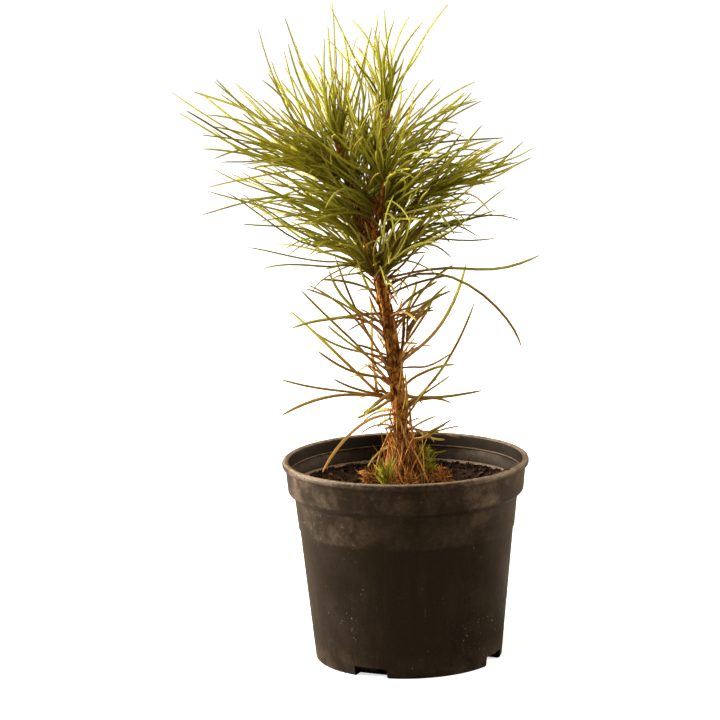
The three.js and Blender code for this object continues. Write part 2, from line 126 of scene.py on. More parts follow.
class PineStemSettings(bpy.types.PropertyGroup):
    base_radius: length("Base radius", "Radius of the stem's buried end", 5.4)
    top_radius: length("Top radius", "Radius of the stem's upper end", 2.7)
    top_height: length("Top height", "Height of the stem above the soil's edge", 234)
    root_depth: length("Root depth", "How deep the stem's lowest end is buried", 24)
    branch_radius: length("Branch radius", "Radius of a side branch", 2)
    twig_radius: length("Twig radius", "Radius of a twig low on the stem", 1.2)
    flakes: number("Bark flakes", "How many curled flakes the stem carries", 1500)
    stubs: number("Stubs", "How many dead stubs the stem carries", 150)
    dead_needles: number("Dead needles", "How many short dead needles stand on the stem", 120)
    bark: colour("Bark", "Colour of the bark", 0.56, 0.215, 0.028)
    bark_pale: colour("Pale bark", "Colour of the flaking edges", 0.84, 0.52, 0.17)
    bark_gap: colour("Bark gaps", "Colour of the gaps between the flakes", 0.045, 0.014, 0.003)


class PineNeedleSettings(bpy.types.PropertyGroup):
    radius: length("Radius", "Radius of a needle at its base", 0.75)
    length: length("Length", "Length of a full needle", 96)
    bend_spread: angle("Bend spread", "Between the most and the least bent needle of a group", 50)
    ridge_margin: length("Ridge margin", "How much thicker the strip of bark is than a needle", 0.35)
    bud_radius: length("Bud radius", "Radius of the bud at a stem's tip", 2)
    bud_length: length("Bud length", "Length of the bud at a stem's tip", 8)
    bundle: number("Needles in a bundle", "How many needles grow from one sheath in the crown", 3)
    bare: portion("Bare", "Share of the bundled needles that have fallen", 0.3)
    base_green: colour("Green at the base", "Colour near the foot of a needle", 0.105, 0.122, 0.003)
    middle_green: colour("Green in the middle", "Colour half way along a needle", 0.33, 0.34, 0.013)
    tip_green: colour("Green at the tip", "Colour of a needle's tip", 0.60, 0.57, 0.078)
    straw: colour("Straw", "Colour of a drying needle", 0.40, 0.205, 0.040)


class PineGroundSettings(bpy.types.PropertyGroup):
    fibres: number("Fibres", "How many dead fibres a heap of litter holds", 210)
    foot_fibres: number("Foot fibres", "How many fibres of each heap climb the foot of the stem", 40)
    strand_fibres: number("Strand fibres", "How many loose fibres a dead strand holds", 24)
    moss_blades: number("Moss blades", "How many blades the moss tuft holds", 260)
    sprout_blades: number("Sprout blades", "How many green blades each sprout holds", 18)
    fibre: colour("Fibre", "Colour of the dead fibres", 0.42, 0.175, 0.034)
    moss: colour("Moss", "Colour of the moss", 0.32, 0.31, 0.026)
    sprout: colour("Sprout", "Colour of the green sprouts", 0.40, 0.385, 0.035)


class PineStageSettings(bpy.types.PropertyGroup):
    floor_size: length("Floor size", "Side of the floor", 40000)
    floor: colour("Floor", "Colour of the floor", 0.90, 0.90, 0.90)
    lens: length("Lens", "Focal length of the camera", 186)
    roll: angle("Roll", "Tilt of the camera about its own axis", -1.216)


def settings(kind):
    return getattr(bpy.context.scene, f"pine_{kind}")


def mm(metres):
    """A setting in millimetres, without the rounding that it was stored with."""
    return round(metres / MM, 4)


# ---- Repeatable chance ----


class Chance:
    """The same run of numbers from 0 to 1 every time."""

    def __init__(self, seed):
        self.state = seed

    def next(self):
        self.state = (self.state * 48271) % 2147483647
        return self.state / 2147483647

    def around(self, middle, spread):
        return middle + spread * (self.next() - 0.5)

    def between(self, low, high):
        return low + (high - low) * self.next()


# ---- Curves ----


def unit(vector):
    return vector / np.linalg.norm(vector)


def towards(heading, lift=0.0):
    turn, rise = math.radians(heading), math.radians(lift)
    flat = math.cos(rise)
    return np.array([flat * math.cos(turn), flat * math.sin(turn), math.sin(rise)])


class Path:
    """A smooth curve through points."""

    def __init__(self, points):
        self.points = np.array(points, dtype=float)

    def at(self, share):
        points, last = self.points, len(self.points) - 1
        place = last * share
        i = min(int(math.floor(place)), last - 1)
        w = place - i
        here, there = points[i], points[i + 1]
        before = points[i - 1] if i > 0 else 2 * here - there
        after = points[i + 2] if i < last - 1 else 2 * there - here
        leave, arrive = 0.5 * (there - before), 0.5 * (after - here)
        return (
            here
            + leave * w
            + (-3 * here + 3 * there - 2 * leave - arrive) * w**2
            + (2 * here - 2 * there + leave + arrive) * w**3
        )

    def tangent(self, share):
        return unit(self.at(min(1.0, share + 1e-4)) - self.at(max(0.0, share - 1e-4)))

    def steps(self, count):
        return np.array([self.at(i / count) for i in range(count + 1)])


class Line(Path):
    """A straight stretch between two points."""

    def at(self, share):
        return self.points[0] + (self.points[1] - self.points[0]) * share


# ---- Meshes from swept sections ----


def ring_section(sides):
    return [(math.cos(math.tau * i / sides), math.sin(math.tau * i / sides)) for i in range(sides)]


ROUND = ring_section(8)
HALF_ROUND = [(1.0, 0.0), (0.55, 0.80), (-0.55, 0.80), (-1.0, 0.0), (0.0, -0.62)]
DIAMOND = [(1.0, 0.0), (0.0, 1.0), (-1.0, 0.0), (0.0, -1.0)]
SCALE = [(1.0, 0.0), (0.0, 0.16), (-1.0, 0.0), (0.0, -0.16)]


def ring_faces(low, high, sides):
    """Faces between two rings of points, which start at the numbers low and high."""
    corners = [(j, (j + 1) % sides) for j in range(sides)]
    return [(low + j, low + k, high + k, high + j) for j, k in corners]


def sweep(line, radii, section, across, twist=0.0, phase=0.0):
    """Points and faces of a closed rod along a line, with its section turned by phase and twist."""
    count, sides = len(line), len(section)
    tangents = np.gradient(line, axis=0)
    tangents /= np.linalg.norm(tangents, axis=1)[:, None]
    side = across - (tangents @ across)[:, None] * tangents
    side /= np.linalg.norm(side, axis=1)[:, None]
    other = np.cross(tangents, side)
    turn = phase + twist * np.linspace(0, 1, count)
    flat = np.array(section)
    u = np.outer(np.cos(turn), flat[:, 0]) - np.outer(np.sin(turn), flat[:, 1])
    v = np.outer(np.sin(turn), flat[:, 0]) + np.outer(np.cos(turn), flat[:, 1])
    radii = np.asarray(radii)[:, None, None]
    spokes = u[:, :, None] * side[:, None, :] + v[:, :, None] * other[:, None, :]
    points = line[:, None, :] + radii * spokes
    faces = [tuple(reversed(range(sides)))]
    for i in range(count - 1):
        faces += ring_faces(i * sides, (i + 1) * sides, sides)
    faces.append(tuple(range((count - 1) * sides, count * sides)))
    return points.reshape(-1, 3), faces


class Shell:
    """Gathers closed shapes, in millimetres, into one mesh in metres."""

    def __init__(self):
        self.points, self.faces, self.along, self.tone, self.slots = [], [], [], [], []
        self.count = 0

    def add(self, points, faces, along, tone, slot=0):
        self.points.append(points)
        self.faces.extend(tuple(i + self.count for i in face) for face in faces)
        self.along.append(np.broadcast_to(along, len(points)))
        self.tone.append(np.full(len(points), tone))
        self.slots.extend([slot] * len(faces))
        self.count += len(points)

    def rod(self, line, radii, section, across, tone, slot=0):
        points, faces = sweep(line, radii, section, across)
        self.add(points, faces, np.repeat(np.linspace(0, 1, len(line)), len(section)), tone, slot)

    def build(self, name, materials, smooth_angle):
        mesh = bpy.data.meshes.new(name)
        mesh.from_pydata((np.concatenate(self.points) * MM).tolist(), [], self.faces)
        for label, values in (("along", self.along), ("tone", self.tone)):
            attribute = mesh.attributes.new(label, "FLOAT", "POINT")
            attribute.data.foreach_set("value", np.concatenate(values).astype(np.float32))
        for material in materials:
            mesh.materials.append(material)
        mesh.polygons.foreach_set("material_index", self.slots)
        mesh.update()
        made = bpy.data.objects.new(name, mesh)
        bpy.context.collection.objects.link(made)
        soften(made, smooth_angle)
        return made


def select_only(made):
    bpy.ops.object.select_all(action="DESELECT")
    made.select_set(True)
    bpy.context.view_layer.objects.active = made


def soften(made, degrees):
    select_only(made)
    bpy.ops.object.shade_smooth_by_angle(angle=math.radians(degrees))


def place(made, slot, node):
    """Hands a finished piece to the frame."""
    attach(made, "root")
    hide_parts(node)


# ---- Finishes ----


def tinted(shade, strength):
    """A colour made darker or brighter."""
    return tuple(min(1.0, strength * part) for part in shade)


class Finish:
    """A material and the nodes that colour it."""

    def __init__(self, name, roughness, specular):
        self.material = bpy.data.materials.new(name)
        self.material.use_nodes = True
        self.tree = self.material.node_tree
        self.shader = self.tree.nodes["Principled BSDF"]
        self.shader.inputs["Roughness"].default_value = roughness
        self.shader.inputs["Specular IOR Level"].default_value = specular
        self.coordinates = self.node("ShaderNodeTexCoord").outputs["Object"]

    def node(self, kind, **sockets):
        made = self.tree.nodes.new(kind)
        for name, value in sockets.items():
            self.set(made.inputs[name.replace("_", " ")], value)
        return made

    def set(self, socket, value):
        if isinstance(value, bpy.types.NodeSocket):
            self.tree.links.new(value, socket)
        elif hasattr(value, "__len__") and len(value) == 3 and len(socket.default_value) == 4:
            socket.default_value = (*value, 1.0)
        else:
            socket.default_value = value

    def stretched(self, x, y, z):
        return self.node("ShaderNodeMapping", Vector=self.coordinates, Scale=(x, y, z)).outputs[0]

    def grain(self, scale, detail=4.0, rough=0.55, vector=None):
        places = vector or self.coordinates
        made = self.node(
            "ShaderNodeTexNoise", Vector=places, Scale=scale, Detail=detail, Roughness=rough
        )
        return made.outputs[0]

    def plates(self, scale, vector):
        """Distance to the edge of the plate that a point is in."""
        made = self.node("ShaderNodeTexVoronoi", Vector=vector, Scale=scale)
        made.feature = "DISTANCE_TO_EDGE"
        return made.outputs["Distance"]

    def attribute(self, name):
        made = self.node("ShaderNodeAttribute")
        made.attribute_name = name
        return made.outputs["Fac"]

    def height(self):
        return self.node("ShaderNodeSeparateXYZ", Vector=self.coordinates).outputs["Z"]

    def math(self, operation, a, b, clamp=False):
        made = self.tree.nodes.new("ShaderNodeMath")
        made.operation = operation
        made.use_clamp = clamp
        self.set(made.inputs[0], a)
        self.set(made.inputs[1], b)
        return made.outputs[0]

    def plus(self, a, b, clamp=False):
        return self.math("ADD", a, b, clamp)

    def times(self, a, b):
        return self.math("MULTIPLY", a, b)

    def fade(self, value, start, end, low=0.0, high=1.0):
        made = self.node(
            "ShaderNodeMapRange", Value=value, From_Min=start, From_Max=end, To_Min=low, To_Max=high
        )
        made.interpolation_type = "SMOOTHSTEP"
        return made.outputs[0]

    def ridge(self, value, middle, half):
        """1 within a half width of the middle, and 0 soon after."""
        rise = self.fade(value, middle - 1.5 * half, middle - half)
        fall = self.fade(value, middle + 1.5 * half, middle + half)
        return self.times(rise, fall)

    def mix(self, share, a, b):
        made = self.tree.nodes.new("ShaderNodeMix")
        made.data_type = "RGBA"
        self.set(made.inputs[0], share)
        self.set(made.inputs[6], a)
        self.set(made.inputs[7], b)
        return made.outputs[2]

    def colour(self, value):
        self.set(self.shader.inputs["Base Color"], value)

    def bump(self, height, depth, strength):
        made = self.node("ShaderNodeBump", Height=height, Distance=depth, Strength=strength)
        self.tree.links.new(made.outputs[0], self.shader.inputs["Normal"])


def plastic_finish(pot):
    """Black plastic with dust on the collar, the band, the foot and the lip; dust and a painted
    highlight on the lip's crest; and on the inner wall painted shade that darkens it and takes
    nearly all its dust, with a painted highlight line under the skirt and a dust line at the crease.
    """
    made = Finish("pot_plastic", 0.42, 0.38)
    made.shader.inputs["Specular Tint"].default_value = (1.0, 0.82, 0.64, 1.0)
    z = made.height()
    inside = made.attribute("inside")
    smear = made.grain(38.0, 9.0, 0.72)
    fine = made.grain(420.0, 5.0, 0.65)
    wide = made.grain(14.0, 3.0, 0.5)
    streaks = made.grain(60.0, 4.0, 0.6, made.stretched(1.6, 1.6, 0.16))
    collar_foot, band_foot = pot.height - pot.collar_depth, pot.height - pot.band_depth
    lip_foot, skirt_foot = pot.height - pot.lip_depth, pot.height - pot.skirt_depth
    collar = made.fade(z, collar_foot - 2 * MM, collar_foot + 3 * MM)
    band = made.fade(z, band_foot - 1 * MM, band_foot + 2 * MM)
    lip = made.fade(z, lip_foot - 0.6 * MM, lip_foot + 0.4 * MM)
    # The lip's crest carries dust and a painted highlight, kept on its inner side too.
    crest_dust_and_highlight = made.fade(z, pot.height - 1.3 * MM, pot.height - 0.4 * MM)
    foot = made.fade(z, 22 * MM, 0.0)
    # The line under the skirt on the inner wall is a painted highlight; the line at the crease is
    # dust on the ledge.
    skirt = made.ridge(z, skirt_foot - 0.3 * MM, 0.6 * MM)
    crease = made.ridge(z, collar_foot + 3.2 * MM, 0.7 * MM)
    patches = made.times(made.fade(smear, 0.42, 0.66), made.fade(fine, 0.30, 0.65, 0.55, 1.25))
    upright = made.stretched(1.0, 1.0, 0.12)
    scuffs = made.fade(made.grain(95.0, 7.0, 0.7, made.stretched(0.7, 0.7, 1.6)), 0.58, 0.72)
    scratches = made.fade(made.grain(240.0, 3.0, 0.7, upright), 0.66, 0.78)
    grit = made.fade(made.grain(420.0, 1.0), 0.71, 0.75)
    specks = made.times(grit, made.fade(made.grain(26.0, 2.0), 0.50, 0.62))
    amount = made.plus(made.times(collar, 0.11), made.times(band, 0.12))
    amount = made.plus(amount, made.times(foot, 0.12))
    dust_and_highlights = made.times(made.plus(amount, 0.012), made.plus(made.times(patches, 1.1), 0.10))
    layers = (
        made.times(scuffs, made.plus(made.times(collar, 0.26), 0.03)),
        made.times(specks, 0.5),
        made.times(made.fade(streaks, 0.5, 0.8), 0.05),
        made.times(scratches, made.times(wide, 0.34)),
        made.times(lip, made.fade(fine, 0.30, 0.75, 0.0, 0.16)),
        made.times(crest_dust_and_highlight, made.fade(fine, 0.25, 0.65, 0.25, 0.8)),
    )
    for layer in layers:
        dust_and_highlights = made.plus(dust_and_highlights, layer)
    # Painted shade: the inner wall keeps only a trace of the dust.
    unshaded = made.math("SUBTRACT", 1.0, made.times(inside, 0.97))
    dust_and_highlights = made.times(dust_and_highlights, made.math("MAXIMUM", unshaded, crest_dust_and_highlight))
    # Painted highlight under the skirt and dust at the crease, on the inner wall only.
    highlight_and_dust_lines = made.times(made.plus(skirt, crease), made.fade(fine, 0.25, 0.6, 0.4, 1.0))
    dust_and_highlights = made.plus(dust_and_highlights, made.times(inside, highlight_and_dust_lines), True)
    # Painted shade: the inner wall's plastic is painted at half its colour.
    shaded = made.mix(inside, tuple(pot.plastic), tinted(pot.plastic, 0.5))
    # The dust colour lays down the dust and the painted highlights alike.
    made.colour(made.mix(dust_and_highlights, shaded, tuple(pot.dust_and_highlights)))
    gloss = made.plus(made.fade(smear, 0.3, 0.7, 0.30, 0.46), made.times(dust_and_highlights, 0.4))
    made.set(made.shader.inputs["Roughness"], made.plus(gloss, made.times(inside, 0.5), True))
    relief = made.plus(fine, made.times(streaks, 0.8))
    made.bump(made.plus(relief, made.times(dust_and_highlights, 2.0)), 0.00022, 0.5)
    return made.material


def soil_finish(soil):
    """Damp crumbly earth, with paler crumbs where the tone is high."""
    made = Finish("soil", 0.95, 0.2)
    clods = made.grain(170.0, 6.0, 0.7)
    fine = made.grain(900.0, 4.0, 0.7)
    pale = made.fade(made.grain(300.0, 3.0), 0.60, 0.72)
    base = made.mix(made.fade(clods, 0.35, 0.7), tinted(soil.earth, 0.35), tinted(soil.earth, 2.2))
    base = made.mix(made.times(pale, 0.65), base, tuple(soil.dry_earth))
    tone = made.attribute("tone")
    made.colour(made.mix(made.times(made.fade(tone, 0.5, 1.0), 0.75), base, tuple(soil.dry_earth)))
    made.bump(made.plus(clods, made.times(fine, 0.4)), 0.0008, 0.8)
    return made.material


def bark_finish(stem):
    """Upright plates with dark gaps; a high tone is a pale flake and a low one a deep gap."""
    made = Finish("bark", 0.85, 0.12)
    plates = made.plates(260.0, made.stretched(1.0, 1.0, 0.42))
    long_grain = made.grain(520.0, 5.0, 0.7, made.stretched(1.0, 1.0, 0.22))
    blotch = made.grain(120.0, 3.0, 0.6)
    gaps = made.fade(plates, 0.10, 0.01)
    dark, light = tinted(stem.bark, 0.42), tinted(stem.bark, 1.25)
    base = made.mix(made.fade(long_grain, 0.32, 0.70), dark, light)
    base = made.mix(made.times(made.fade(blotch, 0.52, 0.75), 0.6), base, tuple(stem.bark_pale))
    tone = made.attribute("tone")
    base = made.mix(made.fade(tone, 0.55, 1.0, 0.0, 0.75), base, tuple(stem.bark_pale))
    base = made.mix(made.fade(tone, 0.46, 0.0, 0.0, 0.92), base, tuple(stem.bark_gap))
    made.colour(made.mix(made.times(gaps, 0.75), base, tuple(stem.bark_gap)))
    made.bump(made.plus(made.times(plates, 2.0), long_grain), 0.0006, 0.8)
    return made.material


DRY_TIP, SHEATH = (0.40, 0.22, 0.05), (0.22, 0.095, 0.028)

# How bright and how dry the needles of each slot, or of one group, are.
NEEDLE_LOOKS = {
    "needles": (0.85, 0.10),
    "tip_needles": (1.25, 0.12),
    "stray_needles": (1.05, 0.85),
    "right_needles": (1.1, 1.1),
    "long_needles": (1.1, 1.6),
    "hanging_needles": (1.0, 6.0),
}


def needle_finish(needle, name, bright, straw):
    """Green that runs from dark at the sheath to pale at the tip; bright and straw shift it."""
    made = Finish(name, 0.5, 0.22)
    along, tone = made.attribute("along"), made.attribute("tone")
    greens = (needle.base_green, needle.middle_green, needle.tip_green)
    base_green, middle_green, tip_green = (tinted(green, bright) for green in greens)
    base = made.mix(made.fade(along, 0.04, 0.45), base_green, middle_green)
    base = made.mix(made.fade(along, 0.40, 1.0), base, tip_green)
    base = made.mix(made.fade(tone, 0.45, 1.0, 0.0, 0.45), base, tip_green)
    base = made.mix(made.fade(tone, 0.5, 0.0, 0.0, 0.70), base, tinted(base_green, 0.65))
    dry = made.times(made.fade(made.grain(16.0, 2.0), 0.36, 0.60), straw)
    dry = made.plus(dry, made.times(made.fade(along, 0.5, 0.1), 0.9 * straw), True)
    base = made.mix(dry, base, tuple(needle.straw))
    flecks = made.grain(700.0, 3.0, 0.7)
    base = made.mix(made.fade(flecks, 0.52, 0.78, 0.0, 0.16), base, tinted(needle.straw, 1.2))
    base = made.mix(made.times(made.fade(along, 0.95, 1.0), 0.6), base, DRY_TIP)
    made.colour(made.mix(made.fade(along, 0.075, 0.03), base, SHEATH))
    made.set(made.shader.inputs["Roughness"], made.fade(flecks, 0.3, 0.7, 0.42, 0.60))
    made.bump(flecks, 0.0001, 0.4)
    return made.material


def fibre_finish(name, dark, pale, rough=0.8):
    """Fibres that run from dark to pale by their tone."""
    made = Finish(name, rough, 0.25)
    tone = made.attribute("tone")
    base = made.mix(made.fade(tone, 0.0, 1.0), dark, pale)
    spots = made.grain(600.0, 4.0, 0.7)
    made.colour(made.mix(made.fade(spots, 0.5, 0.75, 0.0, 0.55), base, tinted(dark, 0.35)))
    made.bump(spots, 0.0002, 0.5)
    return made.material


# ---- Pot ----


def body_radius(pot, height):
    """Radius of the outside of the body, without the collar, at a height."""
    collar_foot = pot.height - pot.collar_depth
    band_foot = pot.height - pot.band_depth
    base = pot.base_diameter / 2
    top = pot.rim_diameter / 2 - pot.lip_overhang - pot.collar_taper - pot.collar_shoulder
    full = base + (top - base) * height / collar_foot
    return full - pot.band_step * height / band_foot if height < band_foot else full


def pot_outline(pot):
    """(radius, height) from the middle of the underside, up the outside, and down the inside."""
    rim, base = pot.rim_diameter / 2, pot.base_diameter / 2
    collar = rim - pot.lip_overhang
    throat = collar - pot.wall
    collar_foot, band_foot = pot.height - pot.collar_depth, pot.height - pot.band_depth
    lip_foot, skirt = pot.height - pot.lip_depth, pot.height - pot.skirt_depth
    shoulder = body_radius(pot, collar_foot - 3 * MM)
    corner_height = pot.notch_height + pot.floor_thickness
    corner_reach = pot.notch_reach + pot.floor_thickness
    return [
        (0.0, 0.0),
        (base - 1 * MM, 0.0),
        (base, 1 * MM),
        (body_radius(pot, band_foot - 1 * MM), band_foot - 1 * MM),
        (body_radius(pot, band_foot + 1 * MM), band_foot + 1 * MM),
        (shoulder, collar_foot - 3 * MM),
        (collar - pot.collar_taper - 0.8 * MM, collar_foot),
        (collar - pot.collar_taper, collar_foot + 1 * MM),
        (collar, lip_foot),
        (rim - 0.6 * MM, lip_foot),
        (rim, lip_foot + 0.9 * MM),
        (rim, pot.height - 1.6 * MM),
        (rim - 0.5 * MM, pot.height - 0.7 * MM),
        (rim - 1.2 * MM, pot.height - 0.2 * MM),
        (rim - 2.2 * MM, pot.height),
        (throat - 0.2 * MM, pot.height - 0.8 * MM),
        (throat - 1 * MM, pot.height - 2.2 * MM),
        (throat - 1 * MM, skirt),
        (throat - 0.1 * MM, skirt - 1 * MM),
        (throat - pot.collar_taper, collar_foot + 3 * MM),
        (shoulder - pot.wall, collar_foot),
        (shoulder - pot.wall, collar_foot - 3 * MM),
        (body_radius(pot, band_foot + 1 * MM) - pot.wall, band_foot),
        (body_radius(pot, corner_height) - pot.wall, corner_height),
        (base - corner_reach - pot.wall, pot.floor_thickness),
        (0.0, pot.floor_thickness),
    ]


OUTSIDE = slice(1, 14)  # the points of the outline from the foot's edge to the lip's top


def mark_inside(mesh, pot):
    """Marks the inner wall, which is painted darker and keeps hardly any dust: painted shade."""
    outer = pot_outline(pot)[OUTSIDE]
    heights, radii = [z for _, z in outer], [radius for radius, _ in outer]
    throat = pot.rim_diameter / 2 - pot.lip_overhang - pot.wall - 0.4 * MM
    inside = []
    for vertex in mesh.vertices:
        middle = np.interp(vertex.co.z, heights, radii) - 0.6 * pot.wall
        wall = min(middle, throat)
        inside.append(float(math.hypot(vertex.co.x, vertex.co.y) < wall))
    mesh.attributes.new("inside", "FLOAT", "POINT").data.foreach_set("value", inside)


def add_modifier(made, kind, **values):
    select_only(made)
    bpy.ops.object.modifier_add(type=kind)
    modifier = made.modifiers[-1]
    for name, value in values.items():
        setattr(modifier, name, value)
    bpy.ops.object.modifier_apply(modifier=modifier.name)


def notch_cutter(pot, turn):
    """The piece that a notch takes out of the foot."""
    base = pot.base_diameter / 2
    corner = [
        (base - pot.notch_reach, -1 * MM),
        (base + 6 * MM, -1 * MM),
        (base + 6 * MM, pot.notch_height),
        (base - 1 * MM, pot.notch_height),
        (base - pot.notch_reach, 0.0),
    ]
    mesh = bpy.data.meshes.new("notch")
    mesh.from_pydata([(x, -pot.notch_width / 2, z) for x, z in corner], [], [range(5)])
    cutter = bpy.data.objects.new("notch", mesh)
    bpy.context.collection.objects.link(cutter)
    select_only(cutter)
    bpy.ops.object.mode_set(mode="EDIT")
    bpy.ops.mesh.select_all(action="SELECT")
    bpy.ops.mesh.extrude_region_move(TRANSFORM_OT_translate={"value": (0, pot.notch_width, 0)})
    bpy.ops.mesh.select_all(action="SELECT")
    bpy.ops.mesh.normals_make_consistent(inside=False)
    bpy.ops.object.mode_set(mode="OBJECT")
    mesh.transform(Matrix.Rotation(turn, 4, "Z"))
    return cutter


def drain_cutter(pot, turn):
    """A rod that a drain hole takes out of the floor."""
    reach = pot.base_diameter / 2 - pot.notch_reach / 2 - 1 * MM
    spot = Matrix.Rotation(turn, 3, "Z") @ Vector((reach, pot.notch_width / 4, 0))
    bpy.ops.mesh.primitive_cylinder_add(
        vertices=32, radius=pot.drain_diameter / 2, depth=40 * MM, location=spot
    )
    bpy.ops.object.transform_apply(location=True)
    return bpy.context.object


def cut(made, cutter):
    add_modifier(made, "BOOLEAN", operation="DIFFERENCE", object=cutter, solver="EXACT")
    bpy.data.objects.remove(cutter, do_unlink=True)


POT_SIDES = 160
WELD = 0.01 * MM  # points nearer than this are one
SHARP = math.radians(24)  # edges sharper than this are rounded


class PINE_OT_make_pot(bpy.types.Operator):
    """Makes the plastic pot with its lip, collar, band, notches and drain holes"""

    bl_idname = "pine.make_pot"
    bl_label = "Pot"

    def execute(self, context):
        pot = settings("pot")
        outline = pot_outline(pot)
        mesh = bpy.data.meshes.new("nursery_pot")
        edges = [(i, i + 1) for i in range(len(outline) - 1)]
        mesh.from_pydata([(radius, 0, height) for radius, height in outline], edges, [])
        made = bpy.data.objects.new("nursery_pot", mesh)
        context.collection.objects.link(made)
        select_only(made)
        bpy.ops.object.mode_set(mode="EDIT")
        bpy.ops.mesh.select_all(action="SELECT")
        bpy.ops.mesh.spin(steps=POT_SIDES, angle=math.tau, center=(0, 0, 0), axis=(0, 0, 1))
        bpy.ops.mesh.select_all(action="SELECT")
        bpy.ops.mesh.remove_doubles(threshold=WELD)
        bpy.ops.mesh.normals_make_consistent(inside=False)
        bpy.ops.object.mode_set(mode="OBJECT")
        add_modifier(
            made, "BEVEL", width=pot.edge, segments=3, limit_method="ANGLE", angle_limit=SHARP
        )
        for i in range(pot.notch_count):
            turn = pot.notch_turn + math.tau * i / pot.notch_count
            cut(made, notch_cutter(pot, turn))
            cut(made, drain_cutter(pot, turn))
        made.data.materials.clear()
        made.data.materials.append(plastic_finish(pot))
        mark_inside(made.data, pot)
        soften(made, 30)
        place(made, "pot_plastic", "pot")
        return {"FINISHED"}


# ---- Soil ----


def soil_top(pot, soil):
    """Height of the soil at the wall, from which every height on the plant is measured."""
    return mm(pot.height) - mm(soil.depth_below_rim)


def ground_at(x, y):
    """Height of the ground at a place."""
    pot, soil = settings("pot"), settings("soil")
    spread = mm(soil.mound_spread)
    mound = mm(soil.mound_height) * math.exp(-(x * x + y * y) / (spread * spread))
    return soil_top(pot, soil) + mound


def soil_edge(pot, soil):
    """Radius of the soil at its surface."""
    shoulder = body_radius(pot, pot.height - pot.collar_depth - 3 * MM)
    return mm(shoulder) - mm(pot.wall) - mm(soil.clearance)


def clump(point, size, seed):
    """A small irregular clod as points and faces."""
    chance = Chance(seed)
    corners, faces = [(0, 0, -1)], []
    for height, turn in ((-0.45, 0.0), (0.45, 36.0)):
        for i in range(5):
            corners.append((*towards(turn + 72 * i)[:2] * 0.9, height))
    corners.append((0, 0, 1))
    points = np.array(corners) * [[chance.between(0.7, 1.15)] for _ in corners]
    for i in range(5):
        j = (i + 1) % 5
        faces += [(0, 1 + j, 1 + i), (1 + i, 1 + j, 6 + i)]
        faces += [(1 + j, 6 + j, 6 + i), (6 + i, 6 + j, 11)]
    limits = ((0.7, 1.4), (0.7, 1.2), (0.5, 0.9))
    stretch = np.array([chance.between(*pair) for pair in limits])
    turn = np.array(Matrix.Rotation(math.tau * chance.next(), 3, towards(360 * chance.next(), 60)))
    return point + size * (points * stretch) @ turn.T, faces


MOUND_RINGS, MOUND_SIDES = 96, 192  # how finely the mound is meshed


def soil_body(pot, soil, edge):
    """The rough mound with the plain sides and underside below it, as points and faces."""
    rings, sides = MOUND_RINGS, MOUND_SIDES
    points, faces = [], []
    for i in range(rings):
        radius = edge * (1 - i / rings) ** 0.9
        for j in range(sides):
            x, y = radius * towards(360 * j / sides)[:2]
            spot = Vector((x, y, 0))
            coarse = 2.2 * noise.fractal(spot * 0.07, 0.9, 2.1, 5)
            fine = 1.3 * noise.fractal(spot * 0.32, 0.8, 2.1, 3)
            points.append((x, y, ground_at(x, y) + (coarse + fine) - 0.4))
    centre, last = rings * sides, (rings - 1) * sides
    points.append((0, 0, ground_at(0, 0)))
    for i in range(rings - 1):
        faces += ring_faces(i * sides, (i + 1) * sides, sides)
    faces += [(last + j, last + (j + 1) % sides, centre) for j in range(sides)]
    gap, wall = mm(soil.clearance), mm(pot.wall)
    floor = mm(pot.floor_thickness) + gap
    corner = mm(pot.notch_height) + floor
    base = mm(pot.base_diameter) / 2 - mm(pot.notch_reach) - mm(pot.floor_thickness) - wall
    low = mm(body_radius(pot, corner * MM)) - wall - gap
    previous = 0
    for radius, height in ((low, corner), (base - gap, floor)):
        start = len(points)
        points += [(*radius * towards(360 * j / sides)[:2], height) for j in range(sides)]
        faces += ring_faces(start, previous, sides)
        previous = start
    faces.append(tuple(reversed(range(previous, previous + sides))))
    return np.array(points), faces


# The seeds of the first crumb on the mound, at the wall and on the lip.
MOUND_SEED, WALL_SEED, LIP_SEED = 100, 9000, 5000


def crumb(shell, x, y, z, size, seed, tone):
    shell.add(*clump(np.array([x, y, z]), size, seed), 0.0, tone)


class PINE_OT_make_soil(bpy.types.Operator):
    """Makes the mound of crumbly soil that fills the pot"""

    bl_idname = "pine.make_soil"
    bl_label = "Soil"

    def execute(self, context):
        pot, soil = settings("pot"), settings("soil")
        edge, chance, shell = soil_edge(pot, soil), Chance(7151), Shell()
        shell.add(*soil_body(pot, soil, edge), 0.0, 0.2)
        for i in range(soil.crumbs):
            reach = edge * 0.985 * math.sqrt(chance.next())
            x, y = reach * towards(360 * chance.next())[:2]
            size = 0.45 + 1.9 * chance.next() ** 3
            tone = chance.next() ** 2
            crumb(shell, x, y, ground_at(x, y) + 0.6 * size, size, MOUND_SEED + i, tone)
        for i in range(soil.edge_crumbs):
            reach = edge + chance.between(-2, 3.5)
            x, y = reach * towards(360 * chance.next())[:2]
            size = chance.between(0.4, 1.1)
            level = soil_top(pot, soil) + max(0.0, 0.7 * (reach - edge)) + 0.3 * size
            crumb(shell, x, y, level, size, WALL_SEED + i, 0.5 * chance.next())
        lip = mm(pot.rim_diameter) / 2 - 2.4
        for i in range(soil.rim_crumbs):
            # Two of three lie in a cluster at the front right.
            lone = i % 3 == 0
            turn = 360 * chance.next() if lone else chance.around(-40, 16)
            size = chance.between(0.25, 0.45 if lone else 1.1)
            x, y = (lip - (0 if lone else chance.between(0, 2.2))) * towards(turn)[:2]
            level = mm(pot.height) - 0.2 + 0.4 * size
            crumb(shell, x, y, level, size, LIP_SEED + i, 0.6 * chance.next())
        made = shell.build("potting_soil", [soil_finish(soil)], 60)
        place(made, "soil", "soil")
        return {"FINISHED"}


# ---- Stems ----


